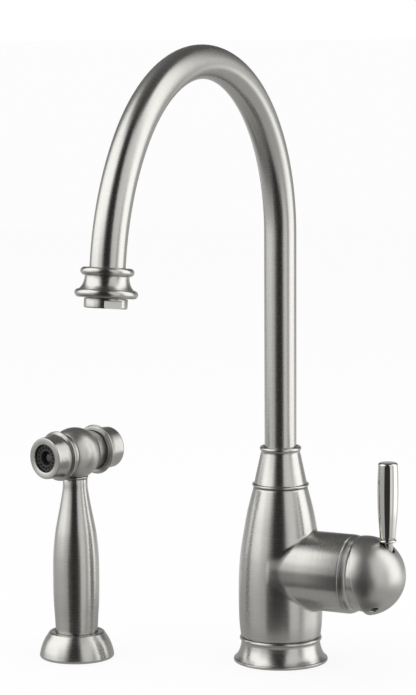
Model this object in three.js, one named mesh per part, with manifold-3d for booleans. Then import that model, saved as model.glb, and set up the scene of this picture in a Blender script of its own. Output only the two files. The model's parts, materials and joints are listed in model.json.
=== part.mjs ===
// Side spray kitchen faucet: a gooseneck mixer with a side lever, and a hand spray in its own holder.
// Millimetres, +Z up. The origin is where the body's axis meets the countertop, the spout reaches
// towards -Y, and the valve with its ball hub and lever points towards +X.
import * as THREE from 'three';
import { mergeVertices } from 'three/addons/utils/BufferGeometryUtils.js';
import Module from 'manifold-3d';

const wasm = await Module();
wasm.setup();

// ---------------------------------------------------------------------------------------------
// Driving dimensions
// ---------------------------------------------------------------------------------------------

// Fits and facets
const GAP = 0.3;                 // between neighbouring faces
const RUNNING_FIT = 0.4;         // radial play of a piece that turns or slides in a bore
const SIDES = 16;                // facets round a piece that shows
const INNER_SIDES = 10;          // facets round a hidden piece
const HOLE_SIDES = 6;            // facets round a drilled hole

// Countertop fixing
const DECK_THICKNESS = 25;
const SHANK_RADIUS = 16.5;
const SHANK_BORE = 13.5;
const SHANK_LENGTH = 60;         // below the countertop
const SHANK_FLANGE = 6;
const GASKET_THICKNESS = 1.7;
const DECK_WASHER_RADIUS = 29;
const DECK_WASHER_THICKNESS = 2.4;
const CLAMP_WASHER_RADIUS = 27.5;
const CLAMP_WASHER_THICKNESS = 1.5;
const MOUNTING_NUT_FLATS = 23;   // axis to flat
const MOUNTING_NUT_HEIGHT = 11;

// Base ring and body
const BASE_RADIUS = 32.9;
const BASE_RIM_HEIGHT = 2.2;
const BASE_HEIGHT = 17.7;
const BASE_FLARE_RADIUS = 28.8;  // halfway up the hollow flare
const BASE_FLARE_HEIGHT = 7.6;
const BASE_NECK_RADIUS = 27.3;   // under the bead
const BASE_BEAD_RADIUS = 28.7;
const BASE_BEAD_THICKNESS = 2.8;
const BASE_SKIRT_WALL = 6.5;     // outside the gasket's recess
const BASE_GROOVE_INNER = 20;    // hollow underneath that saves metal
const BASE_GROOVE_OUTER = 25;
const BASE_GROOVE_TOP = 12;
const BODY_FOOT_RADIUS = 27.8;
const BODY_BELLY_RADIUS = 29.5;
const BODY_BELLY_HEIGHT = 44.5;
const BODY_SHOULDER_RADIUS = 27.1;
const BODY_SHOULDER_HEIGHT = 85;
const BODY_TOP_RADIUS = 18.7;
const BODY_TOP = 123.6;
const BODY_CAVITY_RADIUS = 23.5;
const BODY_CAVITY_TOP = 36;
const INLET_OFFSET = [13, 8];    // hot and cold inlets, from the body's axis
const SPRAY_OUTLET_OFFSET = 13;
const INLET_THREAD_RADIUS = 4.7;
const INLET_THREAD_LENGTH = 8;
const INLET_FLANGE_RADIUS = 5.8;
const INLET_TAIL_RADIUS = 3.8;
const INLET_TAIL_LENGTH = 6.4;
const WATERWAY_RADIUS = 3.2;

// Spout and its seat in the body
const TUBE_RADIUS = 11.1;
const TUBE_WALL = 1.2;
const RISER_TOP = 300;           // where the bend starts
const BEND_RADIUS = 121.5;
const BEND_SWEEP = 141;          // degrees
const OUTLET_BEND_RADIUS = 148;
const OUTLET_LEAN = 7.2;         // degrees that the outlet leans out from straight down
const OUTLET_STRAIGHT = 4;
const TUBE_SOCKET = 6;           // how far the tube goes into the end bell
const COLLAR_TOP = 152;
const COLLAR_TOP_RADIUS = 13.6;
const COLLAR_FOOT_RADIUS = 18.4;
const COLLAR_LIP_RADIUS = 14.5;
const COLLAR_BEAD_RADIUS = 19.8;
const COLLAR_BEAD_THICKNESS = 2;
const NECK_RADIUS = 15.4;        // threaded neck of the body under the collar
const NECK_HEIGHT = 5.7;
const SPOUT_BORE = 13.5;
const SPOUT_BORE_FLOOR = 92;
const BUSHING_HEIGHT = 3.6;
const HUB_WATERWAY = 8.5;
const HUB_SOCKET_DEPTH = 16;
const ORING_SECTION = 1;
const ORING_HEIGHTS = [4.6, 9.2];  // above the hub's foot
const DIVERTER_BORE = 9.3;
const DIVERTER_FLOOR = 76;
const DIVERTER_PISTON_RADIUS = 5.2;
const DIVERTER_TRAVEL = 3;

// End bell and aerator, measured from the middle of the upper bead along the tube's axis
const BELL_UPPER_BEAD = 2.5;
const BELL_UPPER_RADIUS = 16.6;
const BELL_LOWER_BEAD = 2.65;
const BELL_LOWER_RADIUS = 19.5;
const BELL_BEAD_SPACING = 13.4;
const BELL_THROAT_RADIUS = 13.7; // under the upper bead
const BELL_FLARE_RADIUS = 14.7;
const BELL_FLARE_DROP = 8;
const BELL_SKIRT_RADIUS = 16.8;  // over the lower bead
const AERATOR_RADIUS = 13.4;
const AERATOR_LENGTH = 6.1;      // below the bell
const AERATOR_BORE = 10.7;
const AERATOR_LIP = 1.2;         // holds the insert from below, that deep and that far in
const AERATOR_THREAD_RADIUS = 12.2;
const AERATOR_THREAD_LENGTH = 4.6;
const AERATOR_FLAT = 12.1;       // axis to wrench flat
const AERATOR_FLAT_TURN = 50;    // degrees from the spout's front towards the lever side
const AERATOR_WASHER_THICKNESS = 1.5;
const AERATOR_HOLE = 1.1;

// Valve barrel, cartridge, ball hub and lever
const BARREL_HEIGHT = 66.2;
const BARREL_RADIUS = 27.4;
const BARREL_END = 55;           // from the body's axis
const BALL_OVERHANG = 0.1;       // how far the ball stands out from the barrel
const BALL_WALL = 1.4;
const BALL_CENTRE = 64.9;        // from the body's axis
const BALL_RIM = 0;              // open edge, along the stem from the ball's centre
const STEM_REST_TILT = 11;       // degrees that the stem points up when the water is off
const TRIM_SHOULDER = 6;         // behind the ball's centre, where the dome starts
const TRIM_SHOULDER_RADIUS = 25.9;
const DOME_REACH = 11.5;         // in front of the ball's centre
const DOME_FIT = 1.1;            // between the dome and the ball's inside
const DOME_WALL = 2.1;
const CARTRIDGE_RADIUS = 17.4;
const CARTRIDGE_WALL = 2.1;
const CARTRIDGE_NECK_RADIUS = 12;
const CARTRIDGE_SHOULDER = 12;   // behind the ball's centre
const CARTRIDGE_NOSE = 3.2;      // in front of the ball's centre
const CARTRIDGE_PLATE = 2;
const ROTOR_RADIUS = 9.6;
const STEM_ARM = 17;             // from the pivot pin to the disc carrier
const STEM_RADIUS = 3.1;
const ROTOR_SLOT = 13.6;         // height of the slot that the stem tilts in
const STEM_TIP_RADIUS = 2;
const STEM_SQUARE = 6;
const STEM_SQUARE_START = 5.2;
const STEM_REACH = 22;
const PIN_RADIUS = 1.5;
const CARRIER_THICKNESS = 5;
const CARRIER_RADIUS = 10.2;
const DISC_THICKNESS = 2.8;
const MOVING_DISC_RADIUS = 10.2;
const CARTRIDGE_BASE_THICKNESS = 2.6;
const CARTRIDGE_SEAL_THICKNESS = 1;
const BARREL_WALL = 6;           // outside the cartridge nut's thread
const CARTRIDGE_NUT_LENGTH = 7.5;
const CARTRIDGE_NUT_WALL = 4.1;
const HOT_PORT = [-8, -5];       // y and z from the barrel's axis
const COLD_PORT = [8, -5];
const MIXED_PORT = [0, 6];
const HUB_BOSS_RADIUS = 8.5;
const HUB_BOSS_START = 5.4;
const LEVER_OFFSET = 16;         // outboard of the ball's centre
const LEVER_NECK_RADIUS = 3.65;
const LEVER_NECK_FOOT = 8.3;
const LEVER_MOUTH_RADIUS = 5.2;
const LEVER_RING_RADIUS = 6.1;
const LEVER_RING_STAND = 2.4;    // over the ball's surface
const LEVER_RING_THICKNESS = 1.8;
const LEVER_STUD_RADIUS = 2.5;
const LEVER_STUD_LENGTH = 14;
const GRIP_LENGTH = 53;
const GRIP_FOOT_RADIUS = 5.3;
const GRIP_WAIST_RADIUS = 6.4;
const GRIP_WAIST_HEIGHT = 12.7;  // above the grip's foot
const GRIP_BELLY_RADIUS = 7.3;
const GRIP_BELLY_HEIGHT = 31.7;
const GRIP_TOP_RADIUS = 6.8;
const HUB_SCREW_RADIUS = 2.2;
const HUB_SCREW_LENGTH = 5;
const HUB_SCREW_STATION = 7.9;   // along the stem from the ball's centre
const HUB_SCREW_TURN = 32;       // degrees from straight down, towards the spout side
const HUB_SCREW_ACCESS = 2.8;    // radius of the hole in the ball's shell

// Spray holder and its fixing
const SPRAY_PLACE = [-134.5, -52];
const HOLDER_RADIUS = 26.2;
const HOLDER_HEIGHT = 18;
const HOLDER_RIM_HEIGHT = 2;
const HOLDER_FLANK_RADIUS = 24.2;
const HOLDER_FLANK_HEIGHT = 9.2;
const HOLDER_SHOULDER_RADIUS = 20.4;
const HOLDER_EDGE = 1.6;         // roundness of the top edge
const HOLDER_SKIRT_WALL = 3.7;   // outside the gasket's recess
const HOLDER_GROOVE_INNER = 13.4;
const HOLDER_GROOVE_OUTER = 21.4;
const HOLDER_GROOVE_TAPER = 2.4;
const HOLDER_GROOVE_TOP = 11;
const HOLDER_SEAT_RADIUS = 15.2;
const HOLDER_SEAT_DEPTH = 1;
const HOLDER_BORE = 11.2;
const HOLDER_SHANK_BORE = 8.7;
const HOLDER_SHANK_LENGTH = 45;
const HOLDER_LINER_HEIGHT = 7.6;
const HOLDER_WASHER_RADIUS = 18.5;
const HOLDER_WASHER_THICKNESS = 2;
const HOLDER_NUT_FLATS = 15;
const HOLDER_NUT_HEIGHT = 9;

// Hand spray
const HANDLE_TOP = 127.3;
const HANDLE_FOOT_RADIUS = 14.7;
const HANDLE_BELLY_RADIUS = 16.1;
const HANDLE_BELLY_HEIGHT = 45.2;
const HANDLE_GRIP_RADIUS = 15.5; // where the thumb and fingers close
const HANDLE_GRIP_HEIGHT = 80.9;
const HANDLE_TAPER_RADIUS = 10.8;
const HANDLE_TAPER_HEIGHT = 108.1;
const HANDLE_WAIST_RADIUS = 8.7;
const HANDLE_WAIST_LENGTH = 4.9; // straight part under the collar ring
const HANDLE_SOCKET_RADIUS = 8.6;
const HANDLE_SOCKET_DEPTH = 15.6;
const HANDLE_WATERWAY = 5.5;
const COLLAR_RING_RADIUS = 9.2;
const COLLAR_RING_HEIGHT = 1.7;
const COUPLING_RADIUS = 8.2;
const COUPLING_TAIL = 25;        // below the handle
const COUPLING_BORE = 3.5;
const COUPLING_WASHER_THICKNESS = 1.2;
const HEAD_AXIS_RISE = 15.6;     // of the head's axis over the collar ring
const HEAD_TURN = 15;            // degrees that the face points away from the lever side
const HEAD_BALL_RADIUS = 18.1;
const HEAD_NECK_RADIUS = 13.4;
const HEAD_NECK_END = 19.2;      // behind the ball's centre
const HEAD_FRONT = 10.6;         // in front of the ball's centre
const HEAD_SPIGOT_RADIUS = 12.1;
const HEAD_SPIGOT_END = 14;
const BEZEL_RADIUS = 14.4;
const BEZEL_FACE = 30;
const FLANGE_RADIUS = 17.4;
const FLANGE_STATION = 16.8;
const FACE_RADIUS = 9.6;
const FACE_RECESS = 1.6;
const FACE_FLANGE_RADIUS = 12;
const FACE_DEPTH = 6.4;
const FACE_HOLES = 16;
const FACE_HOLE_RADIUS = 0.7;
const FACE_HOLE_CIRCLE = 7;
const FACE_CORE_RADIUS = 4.8;
const FACE_CORE_DEPTH = 4.6;
const PLUNGER_RADIUS = 2.8;
const VALVE_SEAT_THICKNESS = 3;
const VALVE_STEM_RADIUS = 2;
const POPPET_RADIUS = 6.5;
const BUTTON_TRAVEL = 4;
const BUTTON_RADIUS = 14.4;
const BUTTON_END = 37;
const BUTTON_FLANGE_STATION = 20.7;
const SPRING_RADIUS = 7.4;
const SPRING_WIRE = 0.6;

// ---------------------------------------------------------------------------------------------
// Sizes that follow from them
// ---------------------------------------------------------------------------------------------

const BASE_RECESS_RADIUS = BASE_RADIUS - BASE_SKIRT_WALL;
const BODY_FOOT = BASE_HEIGHT + GAP;
const HUB_FOOT = SPOUT_BORE_FLOOR + BUSHING_HEIGHT + 2 * GAP;
const NECK_TOP = BODY_TOP + NECK_HEIGHT;
const HUB_TOP = NECK_TOP - BUSHING_HEIGHT - 2 * GAP;
const TUBE_FOOT = HUB_TOP - HUB_SOCKET_DEPTH + GAP;
const BALL_RADIUS = BARREL_RADIUS + BALL_OVERHANG;
const CARTRIDGE_NUT_RADIUS = BARREL_RADIUS - BARREL_WALL - GAP;
const CARTRIDGE_FOOT = -STEM_ARM - CARRIER_THICKNESS / 2 - 2 * DISC_THICKNESS - 3 * GAP;
const CARTRIDGE_BACK = CARTRIDGE_FOOT - CARTRIDGE_BASE_THICKNESS - GAP;
const BARREL_FLOOR = CARTRIDGE_BACK - CARTRIDGE_SEAL_THICKNESS - 2 * GAP;
const DISC_REST_OFFSET = -STEM_ARM * Math.sin(THREE.MathUtils.degToRad(STEM_REST_TILT));
const LEVER_RING_HEIGHT = Math.sqrt(BALL_RADIUS ** 2 - LEVER_OFFSET ** 2) + LEVER_RING_STAND;
const DOME_RADIUS = BALL_RADIUS - BALL_WALL - DOME_FIT;
const GRIP_FOOT = LEVER_RING_HEIGHT + LEVER_RING_THICKNESS + GAP;
const HOLDER_RECESS_RADIUS = HOLDER_RADIUS - HOLDER_SKIRT_WALL;
const HANDLE_FOOT = HOLDER_HEIGHT - HOLDER_SEAT_DEPTH + GAP;
const HANDLE_SOCKET_TOP = HANDLE_FOOT + HANDLE_SOCKET_DEPTH;
const HEAD_HEIGHT = HANDLE_TOP + COLLAR_RING_HEIGHT + 2 * GAP + HEAD_AXIS_RISE;
const FACE_FRONT = BEZEL_FACE - FACE_RECESS;
const CHAMBER_RADIUS = HEAD_SPIGOT_RADIUS - 3.1;
const CHAMBER_FLOOR = 4.7;
const SPRING_POCKET_FLOOR = -13;
const BUTTON_FLOOR = -BUTTON_END + 3;

// ---------------------------------------------------------------------------------------------
// Finishes
// ---------------------------------------------------------------------------------------------

function finish(color, roughness, metalness) {
  return () => new THREE.MeshStandardMaterial({ color, roughness, metalness });
}

const brushedNickel = finish(0xaaa8a2, 0.34, 1);
const polishedNickel = finish(0xc9c6bd, 0.08, 1);
const castBrass = finish(0xb5924f, 0.45, 1);
const turnedBrass = finish(0xc9a45c, 0.3, 1);
const steel = finish(0x9a9c9e, 0.35, 1);
const blackRubber = finish(0x151515, 0.8, 0);
const greyPlastic = finish(0x55565a, 0.5, 0);
const whitePlastic = finish(0xe6e4dc, 0.5, 0);
const ceramic = finish(0xf2efe8, 0.25, 0);

// ---------------------------------------------------------------------------------------------
// Outlines and solids
// ---------------------------------------------------------------------------------------------

/** An arc of an outline, as [radius, height] points, with its angles in degrees. */
function arc(centreR, centreZ, radius, from, to, steps) {
  const points = [];
  for (let i = 0; i <= steps; i += 1) {
    const angle = THREE.MathUtils.degToRad(from + ((to - from) * i) / steps);
    points.push([centreR + radius * Math.cos(angle), centreZ + radius * Math.sin(angle)]);
  }
  return points;
}

/** A smooth stretch of an outline through a few [radius, height] points. */
function sweep(points, steps) {
  const line = new THREE.SplineCurve(points.map(([r, z]) => new THREE.Vector2(r, z)));
  return line.getPoints(steps).map((point) => [point.x, point.y]);
}

/** A solid turned round Z from an outline that ends on the axis at both ends, or closes on itself. */
function turned(outline, sides = SIDES) {
  const points = outline.map(([r, z]) => new THREE.Vector2(Math.max(r, 0), z));
  const onAxis = points[0].x === 0 && points[points.length - 1].x === 0;
  if (!onAxis) {
    points.push(points[0].clone());
  }
  const geometry = new THREE.LatheGeometry(points, sides);
  geometry.rotateX(Math.PI / 2);
  return geometry;
}

/** A plain ring or tube between two radii and two heights. */
function ring(inner, outer, bottom, top, sides = INNER_SIDES) {
  return turned([[inner, bottom], [outer, bottom], [outer, top], [inner, top]], sides);
}

/** A plain round bar, or the tool that drills its hole, between two heights. */
function bar(radius, bottom, top, sides = HOLE_SIDES) {
  return turned([[0, bottom], [radius, bottom], [radius, top], [0, top]], sides);
}

/** A hexagon bar with a round hole, between two heights. */
function hexNut(flat, bore, bottom, top) {
  const outline = new THREE.Shape();
  for (let corner = 0; corner < 6; corner += 1) {
    const angle = (corner * Math.PI) / 3;
    const reach = flat / Math.cos(Math.PI / 6);
    const move = corner === 0 ? 'moveTo' : 'lineTo';
    outline[move](reach * Math.cos(angle), reach * Math.sin(angle));
  }
  outline.closePath();
  const hole = new THREE.Path();
  hole.absarc(0, 0, bore, 0, 2 * Math.PI, true);
  outline.holes.push(hole);
  const settings = { depth: top - bottom, bevelEnabled: false, curveSegments: SIDES / 2 };
  return new THREE.ExtrudeGeometry(outline, settings).translate(0, 0, bottom);
}

/** Lays a shape turned round Z along +X instead. */
const alongX = (geometry) => geometry.rotateY(Math.PI / 2);

/** Lays a shape turned round Z along the valve's stem, which points up from +X at rest. */
const alongStem = (geometry) => geometry.rotateY(Math.PI / 2 - THREE.MathUtils.degToRad(STEM_REST_TILT));

/** Six times the volume that a closed mesh's triangles enclose, negative where they face inwards. */
function signedVolume(position, index) {
  const a = new THREE.Vector3();
  const b = new THREE.Vector3();
  const c = new THREE.Vector3();
  let total = 0;
  for (let i = 0; i < index.length; i += 3) {
    a.fromArray(position, 3 * index[i]);
    b.fromArray(position, 3 * index[i + 1]);
    c.fromArray(position, 3 * index[i + 2]);
    total += a.dot(b.cross(c));
  }
  return total;
}

/** The solid of a closed geometry: shared corners merged, slivers at the poles dropped, faces outwards. */
function toSolid(geometry) {
  const bare = geometry.clone();
  bare.deleteAttribute('normal');
  bare.deleteAttribute('uv');
  const merged = mergeVertices(bare, 1e-4);
  const vertProperties = new Float32Array(merged.attributes.position.array);
  const corners = merged.index.array;
  const triangles = [];
  for (let i = 0; i < corners.length; i += 3) {
    const [a, b, c] = [corners[i], corners[i + 1], corners[i + 2]];
    if (a !== b && b !== c && c !== a) {
      triangles.push(a, b, c);
    }
  }
  const triVerts = new Uint32Array(triangles);
  if (signedVolume(vertProperties, triVerts) < 0) {
    triVerts.reverse();
  }
  return new wasm.Manifold(new wasm.Mesh({ numProp: 3, vertProperties, triVerts }));
}

/** The geometry of a solid. */
function toGeometry(solid) {
  const mesh = solid.getMesh();
  const geometry = new THREE.BufferGeometry();
  geometry.setAttribute('position', new THREE.BufferAttribute(mesh.vertProperties, 3));
  geometry.setIndex(new THREE.BufferAttribute(mesh.triVerts, 1));
  geometry.computeVertexNormals();
  return geometry;
}

/** The first shape with the others cut out of it. */
function cut(shape, ...tools) {
  return toGeometry(tools.reduce((solid, tool) => solid.subtract(toSolid(tool)), toSolid(shape)));
}

/** All the shapes as one. */
function join(shape, ...others) {
  return toGeometry(others.reduce((solid, other) => solid.add(toSolid(other)), toSolid(shape)));
}

/** Adds a named piece to a group. */
function place(group, name, geometry, material) {
  const mesh = new THREE.Mesh(toGeometry(toSolid(geometry)), material());
  mesh.name = name;
  group.add(mesh);
}

// ---------------------------------------------------------------------------------------------
// Countertop fixing and base
// ---------------------------------------------------------------------------------------------

/** The foot of the faucet: a rolled rim, a hollow flare and a bead, open underneath. */
function baseRing() {
  const bead = BASE_BEAD_THICKNESS / 2;
  const beadHeight = BASE_HEIGHT - bead;
  const bore = SHANK_RADIUS + 2 * GAP;
  const recess = GASKET_THICKNESS + GAP;
  const neckTop = BASE_HEIGHT - BASE_BEAD_THICKNESS - 1.3;
  return turned([
    [BASE_RECESS_RADIUS, 0],
    [BASE_RADIUS - 0.5, 0],
    [BASE_RADIUS, 0.5],
    [BASE_RADIUS, BASE_RIM_HEIGHT - 0.5],
    [BASE_RADIUS - 0.9, BASE_RIM_HEIGHT],
    ...sweep([[BASE_RADIUS - 1.2, BASE_RIM_HEIGHT + 0.4], [BASE_FLARE_RADIUS, BASE_FLARE_HEIGHT],
      [BASE_NECK_RADIUS, neckTop]], 4),
    ...arc(BASE_BEAD_RADIUS - bead, beadHeight, bead, -80, 90, 4),
    [bore, BASE_HEIGHT],
    [bore, recess],
    [BASE_GROOVE_INNER, recess],
    [BASE_GROOVE_INNER, BASE_GROOVE_TOP],
    [BASE_GROOVE_OUTER, BASE_GROOVE_TOP],
    [BASE_GROOVE_OUTER, recess],
    [BASE_RECESS_RADIUS, recess],
  ]);
}

function baseGasket() {
  return ring(SHANK_RADIUS + 3 * GAP, BASE_RECESS_RADIUS - RUNNING_FIT, 0, GASKET_THICKNESS, SIDES);
}

/** The threaded pipe that goes through the countertop, with the flange that screws into the body. */
function mountingShank() {
  const flangeRadius = BODY_CAVITY_RADIUS - GAP;
  return turned([
    [SHANK_BORE, -SHANK_LENGTH],
    [SHANK_RADIUS - 0.8, -SHANK_LENGTH],
    [SHANK_RADIUS, -SHANK_LENGTH + 0.8],
    [SHANK_RADIUS, BODY_FOOT],
    [flangeRadius, BODY_FOOT],
    [flangeRadius, BODY_FOOT + SHANK_FLANGE],
    [SHANK_BORE, BODY_FOOT + SHANK_FLANGE],
  ], SIDES);
}

/** The hexagon nut with its pressing flange, under the countertop. */
function flangedNut(flats, flangeRadius, bore, top, height) {
  const flange = 2.5;
  const hexagon = hexNut(flats, bore, top - height, top - flange / 2);
  return join(hexagon, ring(bore, flangeRadius, top - flange, top, SIDES));
}

function buildDeckFixing(faucet) {
  const bore = SHANK_RADIUS + RUNNING_FIT;
  const washerTop = -DECK_THICKNESS;
  const clampTop = washerTop - DECK_WASHER_THICKNESS - GAP;
  const nutTop = clampTop - CLAMP_WASHER_THICKNESS - GAP;
  const deckWasher = ring(bore, DECK_WASHER_RADIUS, washerTop - DECK_WASHER_THICKNESS, washerTop, SIDES);
  const clampWasher = ring(bore, CLAMP_WASHER_RADIUS, clampTop - CLAMP_WASHER_THICKNESS, clampTop, SIDES);
  const nut = flangedNut(MOUNTING_NUT_FLATS, CLAMP_WASHER_RADIUS - 0.5, bore, nutTop, MOUNTING_NUT_HEIGHT);
  place(faucet, 'base_ring', baseRing(), brushedNickel);
  place(faucet, 'base_gasket', baseGasket(), blackRubber);
  place(faucet, 'mounting_shank', mountingShank(), turnedBrass);
  place(faucet, 'deck_washer', deckWasher, blackRubber);
  place(faucet, 'clamp_washer', clampWasher, steel);
  place(faucet, 'mounting_nut', nut, turnedBrass);
}

// ---------------------------------------------------------------------------------------------
// Body
// ---------------------------------------------------------------------------------------------

/** The vase shape of the body, solid. */
function vase() {
  const edge = 0.3;
  return turned([
    [0, BODY_FOOT],
    [BODY_FOOT_RADIUS - edge, BODY_FOOT],
    ...sweep([[BODY_FOOT_RADIUS, BODY_FOOT + edge], [BODY_BELLY_RADIUS, BODY_BELLY_HEIGHT],
      [BODY_SHOULDER_RADIUS, BODY_SHOULDER_HEIGHT], [BODY_TOP_RADIUS, BODY_TOP]], 9),
    [NECK_RADIUS, BODY_TOP],
    [NECK_RADIUS, NECK_TOP],
    [0, NECK_TOP],
  ]);
}

/** The cylinder on the body's side that takes the cartridge, solid. */
function barrel() {
  const edge = 0.6;
  const shape = [[0, 4], [BARREL_RADIUS, 4], [BARREL_RADIUS, BARREL_END - edge],
    [BARREL_RADIUS - edge, BARREL_END], [0, BARREL_END]];
  return alongX(turned(shape)).translate(0, 0, BARREL_HEIGHT);
}

/** The drilled passages between the inlets, the cartridge, the spout and the spray outlet. */
function waterways() {
  const [inletX, inletY] = INLET_OFFSET;
  const floor = BALL_CENTRE + BARREL_FLOOR;
  const tools = [];
  for (const [y, z] of [HOT_PORT, COLD_PORT]) {
    const start = inletX - WATERWAY_RADIUS;
    tools.push(alongX(bar(WATERWAY_RADIUS, start, floor + 1)).translate(0, y, BARREL_HEIGHT + z));
  }
  const [mixedY, mixedZ] = MIXED_PORT;
  tools.push(alongX(bar(WATERWAY_RADIUS, 0, floor + 1)).translate(0, mixedY, BARREL_HEIGHT + mixedZ));
  tools.push(bar(WATERWAY_RADIUS, BARREL_HEIGHT + mixedZ, DIVERTER_FLOOR + 1));
  for (const side of [-1, 1]) {
    const drill = bar(WATERWAY_RADIUS, BODY_CAVITY_TOP - 1, BARREL_HEIGHT + HOT_PORT[1]);
    tools.push(drill.translate(inletX, side * inletY, 0));
  }
  const sprayTop = DIVERTER_FLOOR + 7;
  tools.push(bar(WATERWAY_RADIUS, BODY_CAVITY_TOP - 1, sprayTop).translate(-SPRAY_OUTLET_OFFSET, 0, 0));
  const cross = alongX(bar(WATERWAY_RADIUS - 0.4, -SPRAY_OUTLET_OFFSET, -DIVERTER_BORE + 2));
  tools.push(cross.translate(0, 0, sprayTop - WATERWAY_RADIUS));
  return tools;
}

/** Where the three hose inlets screw into the roof of the body's cavity. */
function inletPlaces() {
  const [x, y] = INLET_OFFSET;
  return [['hot_inlet', x, -y], ['cold_inlet', x, y], ['spray_outlet', -SPRAY_OUTLET_OFFSET, 0]];
}

/** The body casting: vase and barrel in one, bored for the spout, the diverter and the cartridge. */
function bodyCasting() {
  const tools = [
    bar(BODY_CAVITY_RADIUS, BODY_FOOT - 1, BODY_CAVITY_TOP, SIDES),
    bar(SPOUT_BORE, SPOUT_BORE_FLOOR, NECK_TOP + 1, SIDES),
    bar(DIVERTER_BORE, DIVERTER_FLOOR, SPOUT_BORE_FLOOR + 1, INNER_SIDES),
    ...waterways(),
  ];
  const cartridgeBore = bar(CARTRIDGE_RADIUS + RUNNING_FIT, BARREL_FLOOR, 0, SIDES);
  const threadBore = bar(CARTRIDGE_NUT_RADIUS + GAP, -CARTRIDGE_SHOULDER - 0.2, 0, SIDES);
  for (const tool of [cartridgeBore, threadBore]) {
    tools.push(alongX(tool).translate(BALL_CENTRE, 0, BARREL_HEIGHT));
  }
  for (const [, x, y] of inletPlaces()) {
    const socket = bar(INLET_THREAD_RADIUS + GAP, BODY_CAVITY_TOP - 1, BODY_CAVITY_TOP + INLET_THREAD_LENGTH);
    tools.push(socket.translate(x, y, 0));
  }
  return cut(join(vase(), barrel()), ...tools);
}

/** A threaded nipple under the body's roof, with its flange and the tail that a hose screws onto. */
function inletNipple() {
  const bore = 2.6;
  const flangeTop = BODY_CAVITY_TOP - GAP;
  const flangeFoot = flangeTop - 4;
  return turned([
    [bore, flangeFoot - INLET_TAIL_LENGTH],
    [INLET_TAIL_RADIUS, flangeFoot - INLET_TAIL_LENGTH],
    [INLET_TAIL_RADIUS, flangeFoot],
    [INLET_FLANGE_RADIUS, flangeFoot],
    [INLET_FLANGE_RADIUS, flangeTop],
    [INLET_THREAD_RADIUS, flangeTop],
    [INLET_THREAD_RADIUS, flangeTop + INLET_THREAD_LENGTH - GAP],
    [bore, flangeTop + INLET_THREAD_LENGTH - GAP],
  ], HOLE_SIDES);
}

function buildBody(faucet) {
  place(faucet, 'body_casting', bodyCasting(), brushedNickel);
  for (const [name, x, y] of inletPlaces()) {
    place(faucet, name, inletNipple().translate(x, y, 0), turnedBrass);
  }
}

// ---------------------------------------------------------------------------------------------
// Diverter: a sprung piston under the spout that sends the water to the hand spray
// ---------------------------------------------------------------------------------------------

/** A coil spring round Z, its ends cut square, from one height to another. */
function coilSpring(radius, wire, turns, bottom, top) {
  class Helix extends THREE.Curve {
    getPoint(t, target = new THREE.Vector3()) {
      const angle = 2 * Math.PI * turns * t;
      const height = bottom + wire + (top - bottom - 2 * wire) * t;
      return target.set(radius * Math.cos(angle), radius * Math.sin(angle), height);
    }
  }
  const section = new THREE.Shape();
  section.absarc(0, 0, wire, 0, 2 * Math.PI, false);
  const settings = { extrudePath: new Helix(), steps: Math.round(turns * 8), curveSegments: 2 };
  return new THREE.ExtrudeGeometry(section, settings);
}

/** The diverter's cage: a cup open at the bottom, with a guide for the piston's stem in its roof. */
function diverterBody() {
  const bottom = DIVERTER_FLOOR + GAP;
  const top = SPOUT_BORE_FLOOR - GAP;
  const bore = DIVERTER_PISTON_RADIUS + RUNNING_FIT;
  return turned([
    [bore, bottom],
    [DIVERTER_BORE - GAP, bottom],
    [DIVERTER_BORE - GAP, top],
    [2.4, top],
    [2.4, top - 2],
    [bore, top - 2],
  ], INNER_SIDES);
}

function diverterPiston() {
  const bottom = DIVERTER_FLOOR + 2 * GAP;
  const top = SPOUT_BORE_FLOOR - 1;
  return turned([[0, bottom], [DIVERTER_PISTON_RADIUS, bottom], [DIVERTER_PISTON_RADIUS, bottom + 4],
    [2, bottom + 4], [2, top], [0, top]], INNER_SIDES);
}

function buildDiverter(faucet) {
  const springBottom = DIVERTER_FLOOR + 2 * GAP + 4 + GAP;
  const springTop = SPOUT_BORE_FLOOR - 3 * GAP - 2;
  place(faucet, 'diverter_body', diverterBody(), whitePlastic);
  place(faucet, 'diverter_piston', diverterPiston(), greyPlastic);
  place(faucet, 'diverter_spring', coilSpring(3.7, 0.45, 3, springBottom, springTop), steel);
}

// ---------------------------------------------------------------------------------------------
// Spout
// ---------------------------------------------------------------------------------------------

/** The spout's centre line, a step per station: one straight riser, two bends and one straight end. */
class SpoutLine extends THREE.Curve {
  constructor() {
    super();
    const outletSweep = 180 - OUTLET_LEAN - BEND_SWEEP;
    this.pieces = [
      { steps: 1, length: RISER_TOP - TUBE_FOOT },
      { steps: 15, radius: BEND_RADIUS, sweep: BEND_SWEEP },
      { steps: 3, radius: OUTLET_BEND_RADIUS, sweep: outletSweep },
      { steps: 1, length: OUTLET_STRAIGHT + TUBE_SOCKET },
    ];
    this.steps = this.pieces.reduce((sum, piece) => sum + piece.steps, 0);
  }

  getPoint(t, target = new THREE.Vector3()) {
    let station = t * this.steps;
    let heading = 0;
    target.set(0, 0, TUBE_FOOT);
    for (const { steps, length, radius, sweep: turn } of this.pieces) {
      const share = THREE.MathUtils.clamp(station / steps, 0, 1);
      station -= steps;
      if (radius) {
        const from = heading;
        heading += THREE.MathUtils.degToRad(turn) * share;
        target.y += radius * (Math.cos(heading) - Math.cos(from));
        target.z += radius * (Math.sin(heading) - Math.sin(from));
      } else {
        target.y -= length * share * Math.sin(heading);
        target.z += length * share * Math.cos(heading);
      }
    }
    return target;
  }

  getUtoTmapping(u) {
    return u;
  }
}

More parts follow.
